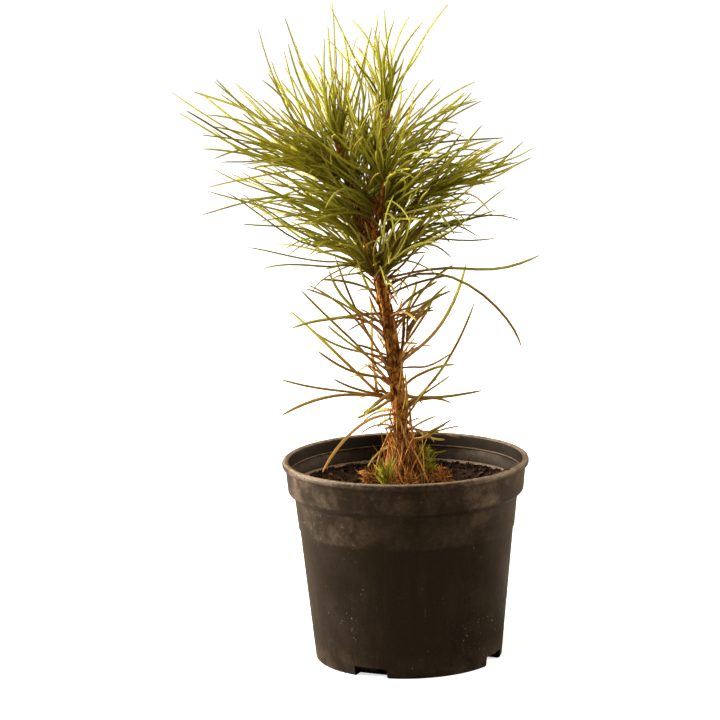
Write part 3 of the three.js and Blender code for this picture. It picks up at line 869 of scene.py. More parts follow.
class Stem:
    """A stem through places spread evenly between two heights above the soil's edge."""

    def __init__(self, top, low, high, places, base_radius, top_radius):
        steps = len(places) - 1
        levels = [top + low + (high - low) * i / steps for i in range(steps + 1)]
        self.path = Path([(x, y, level) for (x, y), level in zip(places, levels)])
        self.low, self.high = low, high
        self.base_radius, self.top_radius = base_radius, top_radius

    def radius(self, along):
        return self.base_radius + (self.top_radius - self.base_radius) * along

    def along(self, height):
        return (height - self.low) / (self.high - self.low)


TRUNK_PLACES = [(-1.4, 0), (-2, 1), (-4, 2), (-8, 1), (-15.5, 0), (-27, -2), (-40, -4)]

# Lowest and highest end above the soil's edge, places out from the trunk's bark, and how much
# thicker than a branch each is. One without that is a twig.
BRANCHES = {
    "right_leader": (168, 252, [(-2.1, 0.9), (-0.1, 4.9), (8.9, 8.9)], 0.5),
    "left_branch": (196, 224, [(-7.1, -2), (-16.1, -4)], 0.0),
    "right_branch": (173, 204, [(15.7, -2.4), (35.7, -5.4)], 0.0),
    "back_branch": (162, 218, [(-4.3, 12.5), (1.7, 26.5)], 0.0),
    "front_branch": (164, 212, [(1.8, -11.7), (6.8, -24.7)], 0.0),
    "left_spur": (64, 70, [(-3, -0.3), (-11, -1.3)], None),
    "right_spur": (80, 124, [(0, -0.3), (1.9, -1.3), (2.6, -1.4)], None),
}

# Points of each dead strand, with heights above the soil's edge, and its radius.
STRANDS = {
    "dead_strand_left": ([(-12, -4, -6), (-13, -5, 12), (-11, -4, 34)], 1.2),
    "dead_strand_front": ([(-7, -8, -6), (-8, -8, 16), (-5, -7.5, 28), (-6, -6.5, 66)], 1.1),
    "dead_strand_right": ([(5, -5, -6), (6, -6, 22), (3.5, -5, 58)], 1.1),
}


def grow_stems():
    """Every stem by name, the trunk first."""
    stem, top = settings("stem"), soil_top(settings("pot"), settings("soil"))
    base, high = mm(stem.base_radius), mm(stem.top_height)
    trunk = Stem(top, -mm(stem.root_depth), high, TRUNK_PLACES, base, mm(stem.top_radius))
    stems = {"trunk": trunk}
    for name, (low, high, steps, extra) in BRANCHES.items():
        along = trunk.along(low)
        foot = trunk.path.at(along)
        bark = trunk.radius(along) * unit(np.array(steps[-1]))
        places = [tuple(foot[:2])]
        places += [(foot[0] + bark[0] + x, foot[1] + bark[1] + y) for x, y in steps]
        radius = mm(stem.twig_radius) if extra is None else mm(stem.branch_radius) + extra
        stems[name] = Stem(top, low, high, places, radius, radius * 0.75)
    return stems


def strand_path(points):
    """The curve of a dead strand, in millimetres."""
    top = soil_top(settings("pot"), settings("soil"))
    return Path([(x, y, top + z) for x, y, z in points])


def square_to(growth, out):
    """The direction nearest to out that is square to a stem's growth."""
    return unit(out - growth * (growth @ out))


def bark_spot(stem, chance, low, high):
    """A share along a stem, its growth there, and a direction out of its bark."""
    along = chance.between(low, high)
    growth = stem.path.tangent(along)
    return along, growth, square_to(growth, towards(360 * chance.next()))


def bark_skin(shell, stem, rings, sides):
    """A rough closed stem with ridged bark."""
    line = stem.path.steps(rings)
    radii = [stem.radius(i / rings) for i in range(rings + 1)]
    points, faces = sweep(line, radii, ring_section(sides), np.array([0.6, 0.5, 0.62]))
    centres = np.repeat(line, sides, axis=0)
    rough = []
    for x, y, z in points:
        ridge = noise.noise(Vector((x * 0.9, y * 0.9, z * 0.16)))
        plate = noise.fractal(Vector((x * 0.8, y * 0.8, z * 0.35)), 0.8, 2.2, 4)
        rough.append(1.0 + 0.11 * ridge + 0.13 * plate)
    spread = np.array(rough)[:, None]
    shell.add(centres + (points - centres) * spread, faces, 0.0, 0.45)


FULL_BARK = 1900  # height times radius, in square millimetres, of bark that holds every flake


def bark_flake(shell, stem, chance, low, high):
    """A thin curled scale of bark, lifted at one end."""
    along, growth, out = bark_spot(stem, chance, low, high)
    across = np.cross(growth, out)
    radius = stem.radius(along)
    size = chance.between(0.5, 1.0) * (0.45 + 0.09 * radius)
    run = unit(growth * (1 if chance.next() < 0.6 else -1) + across * chance.around(0, 0.9))
    side = unit(np.cross(run, out))
    lift = chance.between(0.2, 1.3) ** 1.5
    line = []
    for share in (0.0, 0.35, 0.7, 1.0):
        rise = -0.35 + 0.35 * share + lift * share**2.2
        away = out * (radius * 1.02 + size * rise)
        line.append(stem.path.at(along) + away + run * size * (7.5 * share - 3))
    width = size * chance.between(0.9, 2.0)
    tone = chance.next()
    shell.rod(np.array(line), [width * 0.9, width, width * 0.8, width * 0.25], SCALE, side, tone)


def stub(shell, stem, chance, low, high):
    """The dead foot of a fallen needle."""
    along, growth, out = bark_spot(stem, chance, low, high)
    reach = chance.between(1.6, 3.4 + 4.5 * chance.next() ** 4)
    start = stem.path.at(along) + out * stem.radius(along) * 0.85
    lean = unit(out + growth * chance.between(0.3, 1.4) + towards(360 * chance.next()) * 0.3)
    end = start + lean * reach
    middle = (start + end) / 2 + towards(360 * chance.next(), 20) * reach * 0.08
    thick = chance.between(0.3, 0.62)
    girth = [thick * 1.3, thick, thick * 0.45]
    shell.rod(np.array([start, middle, end]), girth, DIAMOND, towards(31, 20), chance.next())


def dead_needle(shell, stem, chance):
    """A short dead needle that still stands on the stem."""
    along = chance.between(0.17, 0.70)
    heading = 360 * chance.next()
    start = stem.path.at(along) + towards(heading) * stem.radius(along) * 0.8
    reach = 8 + 36 * chance.next() ** 1.5
    shape = Needle(start, heading, chance.between(-5, 70), chance.around(-15, 120), reach)
    needle_rod(shell, shape, chance.between(0.62, 0.9), chance, chance.next(), 2.5, 1)


class PINE_OT_make_stems(bpy.types.Operator):
    """Makes the trunk and its branches with flaking bark and dead stubs"""

    bl_idname = "pine.make_stems"
    bl_label = "Stems"

    def execute(self, context):
        stem = settings("stem")
        finishes = [bark_finish(stem), needle_finish(settings("needle"), "dead_needles", 1.0, 1.0)]
        chance = Chance(40127)
        for name, one in grow_stems().items():
            shell, trunk = Shell(), name == "trunk"
            rise = one.high - one.low
            share = rise * one.base_radius / FULL_BARK
            bark_skin(shell, one, int(max(24, rise * 0.9)), 44 if trunk else 20)
            start = 0.07 if trunk else 0.12  # the share that is hidden in the soil or at the fork
            for _ in range(int(stem.flakes * share)):
                bark_flake(shell, one, chance, start, 1.0)
            for _ in range(int(stem.stubs * share)):
                stub(shell, one, chance, start + 0.05, 0.98)
            for _ in range(stem.dead_needles if trunk else 0):
                dead_needle(shell, one, chance)
            made = shell.build(f"{name}_bark", finishes, 55)
            place(made, "bark", name)
        return {"FINISHED"}


STRAND_SIDE = np.array([0.3, 0.95, 0])


class PINE_OT_make_strands(bpy.types.Operator):
    """Makes the dead strands that stand against the foot of the stem"""

    bl_idname = "pine.make_strands"
    bl_label = "Dead strands"

    def execute(self, context):
        ground = settings("ground")
        finish = fibre_finish("dead_strand", tinted(ground.fibre, 0.30), tinted(ground.fibre, 1.6))
        chance = Chance(911)
        for name, (points, radius) in STRANDS.items():
            path, shell, count = strand_path(points), Shell(), 28
            line = path.steps(count)
            tapered = [radius * (1 - 0.4 * i / count) for i in range(count + 1)]
            radii = [wide * chance.around(1, 0.25) for wide in tapered]
            line += [[chance.around(0, 0.35), chance.around(0, 0.35), 0] for _ in line]
            shell.rod(line, radii, ROUND, STRAND_SIDE, 0.7)
            for _ in range(ground.strand_fibres):
                begin = chance.between(0.0, 0.5)
                stretch = chance.between(0.25, 0.5)
                thin = np.array([path.at(min(1.0, begin + stretch * i / 7)) for i in range(8)])
                sway = towards(360 * chance.next()) * (0.8 + 6.5 * chance.next() ** 1.5)
                thin += np.outer(np.sin(np.linspace(0.3, 2.9, 8)), sway)
                shell.rod(thin, np.linspace(0.52, 0.22, 8), DIAMOND, STRAND_SIDE, chance.next())
            place(shell.build(name, [finish], 60), "litter", name)
        return {"FINISHED"}


# ---- Needles ----


class Needle:
    """An arc that leaves its base at one angle above the level and bends evenly as it runs."""

    def __init__(self, base, heading, lift, bend, length, wave=0.0):
        self.base, self.heading, self.lift, self.bend = base, heading, lift, bend
        self.length, self.wave = length, wave
        self.steps = 3 + int(abs(bend) // 40) + (2 if wave else 0)

    def at(self, along):
        turned = math.radians(self.bend) * along
        half = turned / 2
        chord = self.length * along * (math.sin(half) / half if abs(half) > 1e-9 else 1.0)
        slope = math.radians(self.lift) + half
        rise = chord * math.sin(slope) + self.wave * math.sin(math.tau * along)
        return self.base + chord * math.cos(slope) * towards(self.heading) + np.array([0, 0, rise])

    def points(self):
        return np.array([self.at(i / self.steps) for i in range(self.steps + 1)])


def stretch_gaps(a, b, c, d):
    """Least distances between each straight stretch a to b and each stretch c to d."""
    u, v = (b - a)[:, None], (d - c)[None]
    w = a[:, None] - c[None]
    uu, vv, uv = (u * u).sum(-1), (v * v).sum(-1), (u * v).sum(-1)
    uw, vw = (u * w).sum(-1), (v * w).sum(-1)
    spread = uu * vv - uv * uv
    with np.errstate(divide="ignore", invalid="ignore"):
        s = np.where(spread > 1e-9, np.clip((uv * vw - vv * uw) / spread, 0, 1), 0)
    t = np.clip((uv * s + vw) / vv, 0, 1)
    s = np.clip((uv * t - uw) / uu, 0, 1)
    return np.linalg.norm(w + u * s[..., None] - v * t[..., None], axis=-1)


class Taken:
    """Straight stretches that a piece already takes up."""

    def __init__(self):
        self.owners, self.rows = [], []

    def claim(self, owner, points, radius_at):
        count = len(points) - 1
        for i in range(1, count + 1):
            self.owners.append(owner)
            self.rows.append((*points[i - 1], *points[i], radius_at((i - 1) / count)))

    def clear(self, owners, points, radius, clearance):
        rows = np.array([row for owner, row in zip(self.owners, self.rows) if owner not in owners])
        room = radius + rows[:, 6] + clearance
        gaps = stretch_gaps(points[:-1], points[1:], rows[:, 0:3], rows[:, 3:6])
        return not (gaps < room[None]).any()


# Each group's seat is its stem, the heights where its strip of bark starts and ends, and its
# heading. Its rows are height, heading, lift, bend, length and sometimes a wave.
SINGLES = {
    "spur_needles": (
        ("left_spur", 66.6, 69.4, 180),
        [
            (66.7, 180, 6, 11, 74),
            (67, 202, 11, -33, 78),
            (69, 166, 44, -6, 82),
            (69.4, 156, 62, -20, 74),
            (68, 206, 14, 20, 40),
            (66.9, 215, -25, 0, 22),
        ],
    ),
    "left_needles": (
        ("trunk", 62, 148, 222),
        [
            (64, 208, -24, 4, 30),
            (75, 192, 52, -6, 92),
            (78, 196, 12, 26, 56),
            (81, 206, 70, -44, 90),
            (84, 202, 32, 14, 58),
            (88, 190, 56, 18, 84),
            (93, 188, 13, 20, 56),
            (106, 198, 50, -28, 70),
            (118, 186, 20, 54, 54),
            (124, 190, 6, -25, 62),
            (131, 204, 55, 20, 38),
            (140, 194, 24, -20, 40),
        ],
    ),
    "right_needles": (
        ("trunk", 44, 128, 40),
        [
            (47, 20, -60, 60, 34),
            (54, 28, 36, 30, 92),
            (57, 12, 28, -60, 34),
            (63, 14, -4, 8, 56),
            (70, 22, 46, -58, 42),
            (88, 20, 28, 48, 84),
            (95, 10, 50, 12, 44),
            (111, 30, 40, 40, 36),
            (119, 18, 50, -28, 40),
        ],
    ),
    "right_spur_needles": (
        ("right_spur", 104, 123, 340),
        [
            (105, 350, 70, -40, 30),
            (111, 20, 60, -30, 42),
            (118, 340, 48, -24, 40),
            (122, 5, 62, -34, 46),
        ],
    ),
    "long_needles": (
        ("trunk", 132, 147, 345),
        [
            (136, 352, 26, -14, 42),
            (142, 8, 20, -98, 118, 3),
            (146.5, 346, 0, 18, 108, 4),
        ],
    ),
    "hanging_needles": (
        ("trunk", 44, 60, 240),
        [
            (53, 232, 10, -54, 87),
            (46, 200, -50, -30, 36),
            (58, 290, -60, -24, 40),
        ],
    ),
}

# The crown: seat, then fan, lift, spread of lift, bend, how many needles, and their share of a
# full length. A seat without heights is the bud at the stem's tip.
SPRAYS = {
    "low_right": (("trunk", 150, 163, 8), (44, 42, 16, -30, 7, 1.0)),
    "low_back_right": (("trunk", 146, 159, 50), (50, 42, 16, -30, 6, 1)),
    "low_back_left": (("trunk", 144, 158, 130), (50, 38, 16, -26, 6, 1)),
    "low_left": (("trunk", 150, 166, 184), (40, 34, 16, -24, 7, 1.05)),
    "low_front_left": (("trunk", 148, 162, 236), (44, 36, 16, -28, 6, 0.95)),
    "low_front_right": (("trunk", 146, 160, 300), (44, 40, 16, -30, 6, 0.9)),
    "mid_right": (("right_leader", 186, 200, 350), (60, 38, 18, -30, 7, 0.95)),
    "mid_back": (("trunk", 184, 198, 125), (50, 46, 18, -24, 6, 1)),
    "mid_left": (("trunk", 172, 188, 172), (44, 30, 18, -16, 7, 1.1)),
    "mid_front_left": (("trunk", 174, 190, 215), (40, 38, 18, -18, 6, 1)),
    "mid_front_right": (("trunk", 184, 198, 325), (50, 48, 18, -24, 6, 0.9)),
    "upper_left": (("trunk", 210, 229, 238), (60, 36, 24, -6, 7, 1.1)),
    "upper_back": (("trunk", 204, 226, 100), (60, 54, 20, -14, 6, 1)),
    "upper_front": (("trunk", 204, 226, 300), (60, 56, 20, -14, 6, 0.95)),
    "leader_tip": (("trunk", None, None, 120), (300, 74, 26, -6, 10, 0.95)),
    "right_leader_right": (("right_leader", 208, 226, 350), (60, 50, 20, -26, 7, 0.9)),
    "right_leader_back": (("right_leader", 208, 228, 80), (60, 54, 20, -16, 6, 0.9)),
    "right_leader_front": (("right_leader", 216, 236, 280), (60, 56, 20, -14, 6, 0.85)),
    "right_leader_tip": (("right_leader", None, None, 20), (320, 70, 30, -8, 10, 0.8)),
    "left_branch_front": (("left_branch", 205, 220, 225), (50, 32, 24, 0, 7, 1)),
    "left_branch_back": (("left_branch", 205, 220, 140), (50, 34, 24, 0, 7, 1)),
    "left_branch_tip": (("left_branch", None, None, 180), (60, 32, 50, 6, 10, 1.1)),
    "right_branch_front": (("right_branch", 181, 198, 310), (60, 36, 22, -30, 6, 0.85)),
    "right_branch_back": (("right_branch", 181, 198, 50), (60, 40, 22, -24, 6, 0.85)),
    "right_branch_tip": (("right_branch", None, None, 0), (14, 28, 14, -8, 10, 0.72)),
    "back_branch_left": (("back_branch", 186, 212, 160), (60, 42, 20, -16, 6, 0.95)),
    "back_branch_right": (("back_branch", 186, 212, 40), (60, 42, 20, -20, 6, 0.9)),
    "back_branch_tip": (("back_branch", None, None, 90), (150, 54, 34, -12, 9, 0.9)),
    "front_branch_left": (("front_branch", 186, 206, 205), (60, 38, 20, -18, 6, 0.9)),
    "front_branch_right": (("front_branch", 186, 206, 335), (60, 42, 20, -22, 6, 0.9)),
    "front_branch_tip": (("front_branch", None, None, 270), (150, 52, 34, -14, 9, 0.85)),
}


class Group:
    """The needles that grow from one strip of bark or one bud."""

    def __init__(self, name, seat, stems, clearance):
        host, self.low, self.high, self.heading = seat
        needle, stem = settings("needle"), stems[host]
        self.name, self.bud, self.needles = name, self.low is None, []
        self.owners = (name, host) if self.bud else (name,)
        if self.bud:
            end, growth = stem.path.at(1.0), stem.path.tangent(1.0)
            head = end + growth * (clearance + mm(needle.bud_length))
            self.spine = Line([end + growth * clearance, head])
            self.radius, self.side = mm(needle.bud_radius), np.array([0.6, 0.8, 0])
            return
        self.radius = mm(needle.radius) + mm(needle.ridge_margin)
        points = []
        for share in (0, 0.5, 1):
            along = stem.along(self.low + (self.high - self.low) * share)
            out = square_to(stem.path.tangent(along), towards(self.heading))
            reach = stem.radius(along) + clearance + self.radius + 0.1
            points.append(stem.path.at(along) + out * reach)
        self.spine, self.side = Path(points), towards(self.heading + 90)


# Straight stretches that stand for a stem, a strand and a strip of bark when needles look for room.
STEM_STRETCHES, STRAND_STRETCHES, SPINE_STRETCHES = 14, 6, 2
ATTEMPTS = 200  # how many places a needle tries before it grows where it last tried
GOLDEN = 0.618  # share of a fan between one needle's heading and the next


def grow_groups():
    """Every group with its needles, each clear of the stems, the strands and the other groups."""
    needle, clearance = settings("needle"), mm(settings("soil").clearance)
    radius, full = mm(needle.radius), mm(needle.length)
    bend_spread = round(math.degrees(needle.bend_spread), 4)
    stems, taken, chance = grow_stems(), Taken(), Chance(20731)
    for name, stem in stems.items():
        taken.claim(name, stem.path.steps(STEM_STRETCHES), stem.radius)
    for name, (points, thick) in STRANDS.items():
        taken.claim(name, strand_path(points).steps(STRAND_STRETCHES), lambda _, thick=thick: thick)
    groups = []
    sprays = {f"{name}_needles": row for name, row in SPRAYS.items()}
    for name, (seat, _) in (SINGLES | sprays).items():
        group = Group(name, seat, stems, clearance)
        taken.claim(name, group.spine.steps(SPINE_STRETCHES), lambda _, group=group: group.radius)
        groups.append(group)

    def grow(group, attempt_at):
        for attempt in range(ATTEMPTS):
            one = attempt_at(attempt)
            if taken.clear(group.owners, one.points(), radius, clearance):
                break
        taken.claim(group.name, one.points(), lambda along: radius * (1 - 0.35 * along))
        group.needles.append(one)

    for group, (_, rows) in zip(groups, SINGLES.values()):
        for height, heading, *shape in rows:
            base = group.spine.at((height - group.low) / (group.high - group.low))

            def attempt_at(attempt):
                turned = attempt * 1.5 * (1 if attempt % 2 else -1)
                return Needle(base, heading + turned, *shape)

            grow(group, attempt_at)
    for group, (_, rule) in zip(groups[len(SINGLES):], SPRAYS.values()):
        fan, lift, spread, bend, count, share = rule
        for i in range(count):
            base = group.spine.at((i + 0.5) / count)
            spoke = group.heading + fan * ((i * GOLDEN) % 1 - 0.5)

            def attempt_at(attempt):
                turn, rise = chance.around(spoke, 8 + attempt), chance.around(lift, spread)
                droop = chance.around(bend, bend_spread)
                return Needle(base, turn, rise, droop, full * share * chance.around(0.95, 0.3))

            grow(group, attempt_at)
    return groups


# Shares of a needle's length where it has a section, and its girth at some shares.
NEEDLE_SHARES = np.array([0, 0.03, 0.09, *np.linspace(0.18, 0.78, 7), 0.87, 0.94, 0.98, 1.0])
NEEDLE_GIRTH = (
    [0, 0.03, 0.09, 0.4, 0.7, 0.9, 0.97, 1.0],
    [1.2, 1.25, 0.95, 1.05, 1.0, 0.85, 0.6, 0.2],
)


def needle_rod(shell, one, radius, chance, tone, sway, slot=0):
    """A slim needle with a grooved side, a slow twist, a faint double curve and a short tip."""
    shares, side = NEEDLE_SHARES, towards(one.heading + 90)
    phase, pace = math.tau * chance.next(), chance.between(0.4, 0.9)
    reach = sway * one.length / 90 * np.minimum(1, 2.5 * shares)
    drift = reach * (np.sin(math.tau * pace * shares + phase) - math.sin(phase))
    lift = reach * (np.sin(math.tau * pace * shares + 2 * phase) - math.sin(2 * phase))
    line = np.array([one.at(share) for share in shares])
    line += np.outer(drift, side) + np.outer(lift, (0, 0, 1))
    taper = np.interp(shares, *NEEDLE_GIRTH)
    points, faces = sweep(line, radius * taper, HALF_ROUND, side, chance.around(0, 3.0), phase)
    shell.add(points, faces, np.repeat(shares, len(HALF_ROUND)), tone, slot)


def spare_needle(one, inner, chance):
    """Another needle of a bundle; an inner one is short and stands up."""
    start = one.base + towards(360 * chance.next()) * 0.5
    heading = one.heading + chance.around(0, 80 if inner else 62)
    lift = one.lift + (chance.between(0, 30) if inner else chance.around(12, 34))
    bend = one.bend + (chance.around(-10, 50) if inner else chance.around(-22, 70))
    share = chance.between(0.35, 0.62) if inner else chance.between(0.42, 0.95)
    return Needle(start, heading, lift, bend, one.length * share, one.wave)


SINGLE_SWAY, BUNDLE_SWAY = 1.4, 4.6  # how far a needle strays from its arc, in millimetres


class PINE_OT_make_needles(bpy.types.Operator):
    """Makes every group of needles with its strip of bark or its bud"""

    bl_idname = "pine.make_needles"
    bl_label = "Needles"

    def execute(self, context):
        needle = settings("needle")
        radius = mm(needle.radius)
        bark = bark_finish(settings("stem"))
        finishes = {name: needle_finish(needle, name, *look) for name, look in NEEDLE_LOOKS.items()}
        chance = Chance(5501)
        for group in grow_groups():
            single = group.name in SINGLES
            slot = "stray_needles" if single else "tip_needles" if group.bud else "needles"
            shell = Shell()
            spine = group.spine.steps(10)
            girth = [0.60 + 0.40 * math.sin(math.pi * (0.1 + 0.85 * i / 10)) for i in range(11)]
            girth = group.radius * np.array(girth) * (1.0 if group.bud else 0.7)
            shell.rod(spine, girth, ROUND, group.side, 0.5, 1)
            for one in group.needles:
                tone = chance.next()
                thick = radius * chance.between(0.95, 1.12)
                if single:
                    needle_rod(shell, one, thick * 1.35, chance, tone, SINGLE_SWAY)
                    continue
                needle_rod(shell, one, thick, chance, tone, BUNDLE_SWAY)
                for i in range(needle.bundle):
                    inner = i == needle.bundle - 1
                    if not inner and chance.next() < needle.bare:
                        continue
                    spare = spare_needle(one, inner, chance)
                    # An inner needle gets a low tone, which paints it darker: painted shade inside
                    # the bundle. An outer one follows its main needle's tone.
                    shade = 0.35 * chance.next() if inner else 0.6 * tone + 0.4 * chance.next()
                    needle_rod(shell, spare, thick * 0.97, chance, shade, BUNDLE_SWAY)
            finish = finishes.get(group.name, finishes[slot])
            made = shell.build(f"{group.name}_spray", [finish, bark], 60)
            place(made, slot, group.name)
        return {"FINISHED"}


# ---- Ground cover ----

# Place, heading, lift, bend and length of each green sprout.
BLADES = [(-13, -19, 250, 70, -30, 16), (-12, -20, 300, 80, -20, 19), (-14, -20, 200, 62, -36, 15)]

# Place, width, depth, height and turn of each lump that sits half sunk in the ground.
LUMPS = {
    "moss_tuft": (12, -2, 13, 10, 30, 20),
    "litter_left": (-21, -4, 16, 13, 13, 40),
    "litter_front": (-1, -22, 22, 13, 11, 8),
    "litter_right": (24, -7, 18, 13, 10, 60),
}

# Place, length, width, thickness and heading of each bark chip.
CHIPS = {
    "bark_chip_1": (52, 10, 12, 4, 3, 30),
    "bark_chip_2": (46, -28, 9, 4, 3, 100),
    "bark_chip_3": (-50, -12, 11, 5, 3, 150),
    "bark_chip_4": (-30, 44, 10, 5, 3, 75),
    "bark_chip_5": (24, 50, 12, 4, 3, 10),
}


def lump_core(shell, lump, tone):
    """A lumpy ball, stretched and half sunk; gives its centre, half sizes and turn."""
    x, y, width, depth, height, turn = lump
    half = np.array([width, depth, height]) / 2
    rotation = np.array(Matrix.Rotation(math.radians(turn), 3, "Z"))
    rings, sides = 12, 20
    points = [(0, 0, -1)]
    for i in range(1, rings):
        lift = math.radians(180 * i / rings - 90)
        points += [towards(360 * j / sides, math.degrees(lift)) for j in range(sides)]
    points.append((0, 0, 1))
    swell = [0.84 + 0.30 * noise.fractal(Vector(point) * 2.4, 0.8, 2.0, 4) for point in points]
    points = np.array([np.array(point) * size for point, size in zip(points, swell)])
    faces = [(0, 1 + (j + 1) % sides, 1 + j) for j in range(sides)]
    for i in range(rings - 2):
        faces += ring_faces(1 + i * sides, 1 + (i + 1) * sides, sides)
    last, top = 1 + (rings - 2) * sides, len(points) - 1
    faces += [(last + j, last + (j + 1) % sides, top) for j in range(sides)]
    centre = np.array([x, y, ground_at(x, y) + height * 0.2])
    shell.add(centre + (points * half) @ rotation.T, faces, 0.0, tone)
    return centre, half, rotation


def fibre(shell, start, heading, lift, bend, reach, thick, chance):
    """A dead fibre that curls as it runs."""
    shape = Needle(start, heading, lift, bend, reach)
    line = np.array([shape.at(i / 5) for i in range(6)])
    sway = chance.between(0.2, 0.12 * reach)
    line += np.outer(np.sin(np.linspace(0, 5, 6) + chance.next()), towards(heading + 90) * sway)
    radii = thick * np.array([1.0, 1.0, 0.95, 0.85, 0.65, 0.3])
    shell.rod(line, radii, DIAMOND, towards(heading + 90), chance.next())


TALL_SHARE = 0.14  # share of the foot fibres that stand tall


def foot_fibre(shell, chance):
    """A dead fibre that rises from the ground and leans against the foot of the stem."""
    heading, spread = 360 * chance.next(), chance.next()
    spot = towards(heading) * (6 + 17 * spread) + np.array([-3, -2, 0])
    spot[2] = ground_at(spot[0], spot[1]) - 1
    lean = heading + 180 + chance.around(0, 160)
    reach = (12 + 40 * chance.next() ** 2) * (1.15 - 0.6 * spread)
    if chance.next() < TALL_SHARE:
        reach = chance.between(38, 66)
    thick = chance.between(0.24, 0.58)
    fibre(shell, spot, lean, chance.between(66, 96), chance.around(-5, 60), reach, thick, chance)


class PINE_OT_make_ground_cover(bpy.types.Operator):
    """Makes the moss, the sprouts and the heaps of dead fibres round the stem"""

    bl_idname = "pine.make_ground_cover"
    bl_label = "Moss and litter"

    def execute(self, context):
        ground = settings("ground")
        litter = fibre_finish("litter", tinted(ground.fibre, 0.20), tinted(ground.fibre, 1.6))
        mossy = fibre_finish("moss", tinted(ground.moss, 0.45), tinted(ground.moss, 2.2))
        green = fibre_finish("sprout", tinted(ground.sprout, 0.6), tinted(ground.sprout, 1.5), 0.5)
        chance = Chance(3307)
        for name, lump in LUMPS.items():
            shell = Shell()
            grassy = name == "moss_tuft"
            centre, half, rotation = lump_core(shell, lump, 0.25)
            for _ in range(ground.moss_blades if grassy else ground.fibres):
                heading, rise = 360 * chance.next(), chance.between(-15, 90)
                start = centre + rotation @ (towards(heading, rise) * half * 0.85)
                turn = heading + lump[5] + chance.around(0, 240)
                reach = chance.between(3.5, 10.0) if grassy else chance.between(3, 11)
                lift = chance.between(35, 88) if grassy else chance.between(-10, 80)
                bend = chance.around(-20, 70) if grassy else chance.around(-40, 170)
                fibre(shell, start, turn, lift, bend, reach, chance.between(0.2, 0.45), chance)
            for _ in range(0 if grassy else ground.foot_fibres):
                foot_fibre(shell, chance)
            made = shell.build(name, [mossy if grassy else litter], 60)
            place(made, "moss" if grassy else "litter", name)
        shell = Shell()
        foot = np.array([-13, -19.6, ground_at(-13, -19.6)])
        shell.add(*clump(foot + (0, 0, 0.6), 3.0, 9), 0.0, 0.3)
        for x, y, heading, lift, bend, reach in BLADES:
            for _ in range(ground.sprout_blades):
                start = np.array([x, y, ground_at(x, y) + chance.between(1, 7)])
                start += towards(360 * chance.next()) * chance.between(0, 2.4)
                turn, rise = heading + chance.around(0, 200), lift + chance.around(8, 40)
                blade = Needle(start, turn, rise, bend, reach * chance.between(0.55, 1.25))
                needle_rod(shell, blade, chance.between(0.26, 0.46), chance, chance.next(), 0.8)
        place(shell.build("green_blades_sprout", [green], 60), "moss", "green_blades")
        return {"FINISHED"}


class PINE_OT_make_chips(bpy.types.Operator):
    """Makes the slivers of bark that lie on the soil"""

    bl_idname = "pine.make_chips"
    bl_label = "Bark chips"

    def execute(self, context):
        bark = bark_finish(settings("stem"))
        for name, (x, y, long, wide, thick, turn) in CHIPS.items():
            shell = Shell()
            run = towards(turn)
            shares = np.linspace(-0.5, 0.5, 9)
            centre = np.array([x, y, ground_at(x, y) + thick / 2 + 0.5])
            curl = np.outer(0.35 * np.cos(4 * shares), (0, 0, 1))
            line = centre + np.outer(shares * long, run) + curl
            uneven = [0.14 * noise.noise(Vector((9 * share, x, y))) for share in shares]
            girth = [
                wide / 2 * (0.92 - 1.9 * abs(s) ** 2.4 + more) for s, more in zip(shares, uneven)
            ]
            section = [(u, 0.8 * v * thick / wide) for u, v in ROUND]
            shell.rod(line, girth, section, towards(turn + 90), 0.5)
            place(shell.build(name, [bark], 50), "litter", name)
        return {"FINISHED"}


# ---- Stage ----


def aim(made, target):
    made.rotation_mode = "QUATERNION"
    made.rotation_quaternion = (Vector(target) - made.location).to_track_quat("-Z", "Y")


# Place, target, width, depth, power and tint of each light, in metres and watts.
LIGHTS = {
    "key": ((-1.7, 0.28, 0.85), (0, 0, 0.2), 1.1, 1.6, 98.0, (1.0, 0.93, 0.82)),
    "rim": ((1.5, 0.30, 0.7), (0, 0, 0.2), 0.6, 1.1, 24.0, (1.0, 0.88, 0.72)),
    "edge": ((-0.9, 0.10, 0.16), (0, 0, 0.07), 0.25, 0.25, 7.0, (1.0, 0.90, 0.78)),
    "far edge": ((0.9, -0.02, 0.16), (0, 0, 0.07), 0.25, 0.25, 2.6, (1.0, 0.86, 0.70)),
    "top": ((-0.7, -0.8, 2.2), (0, 0, 0.30), 1.2, 1.2, 29.0, (1.0, 0.96, 0.88)),
}

# Where the camera stands and where it looks, in millimetres.
CAMERA_PLACE, CAMERA_TARGET = (-29.788, -2500, 700.248), (-29.788, 0, 208.907)


def soft_light(name, location, target, width, depth, watts, tint):
    bpy.ops.object.light_add(type="AREA", location=location)
    made = bpy.context.object
    made.name = name
    made.data.shape, made.data.size, made.data.size_y = "RECTANGLE", width, depth
    made.data.energy, made.data.color = watts, tint
    aim(made, target)


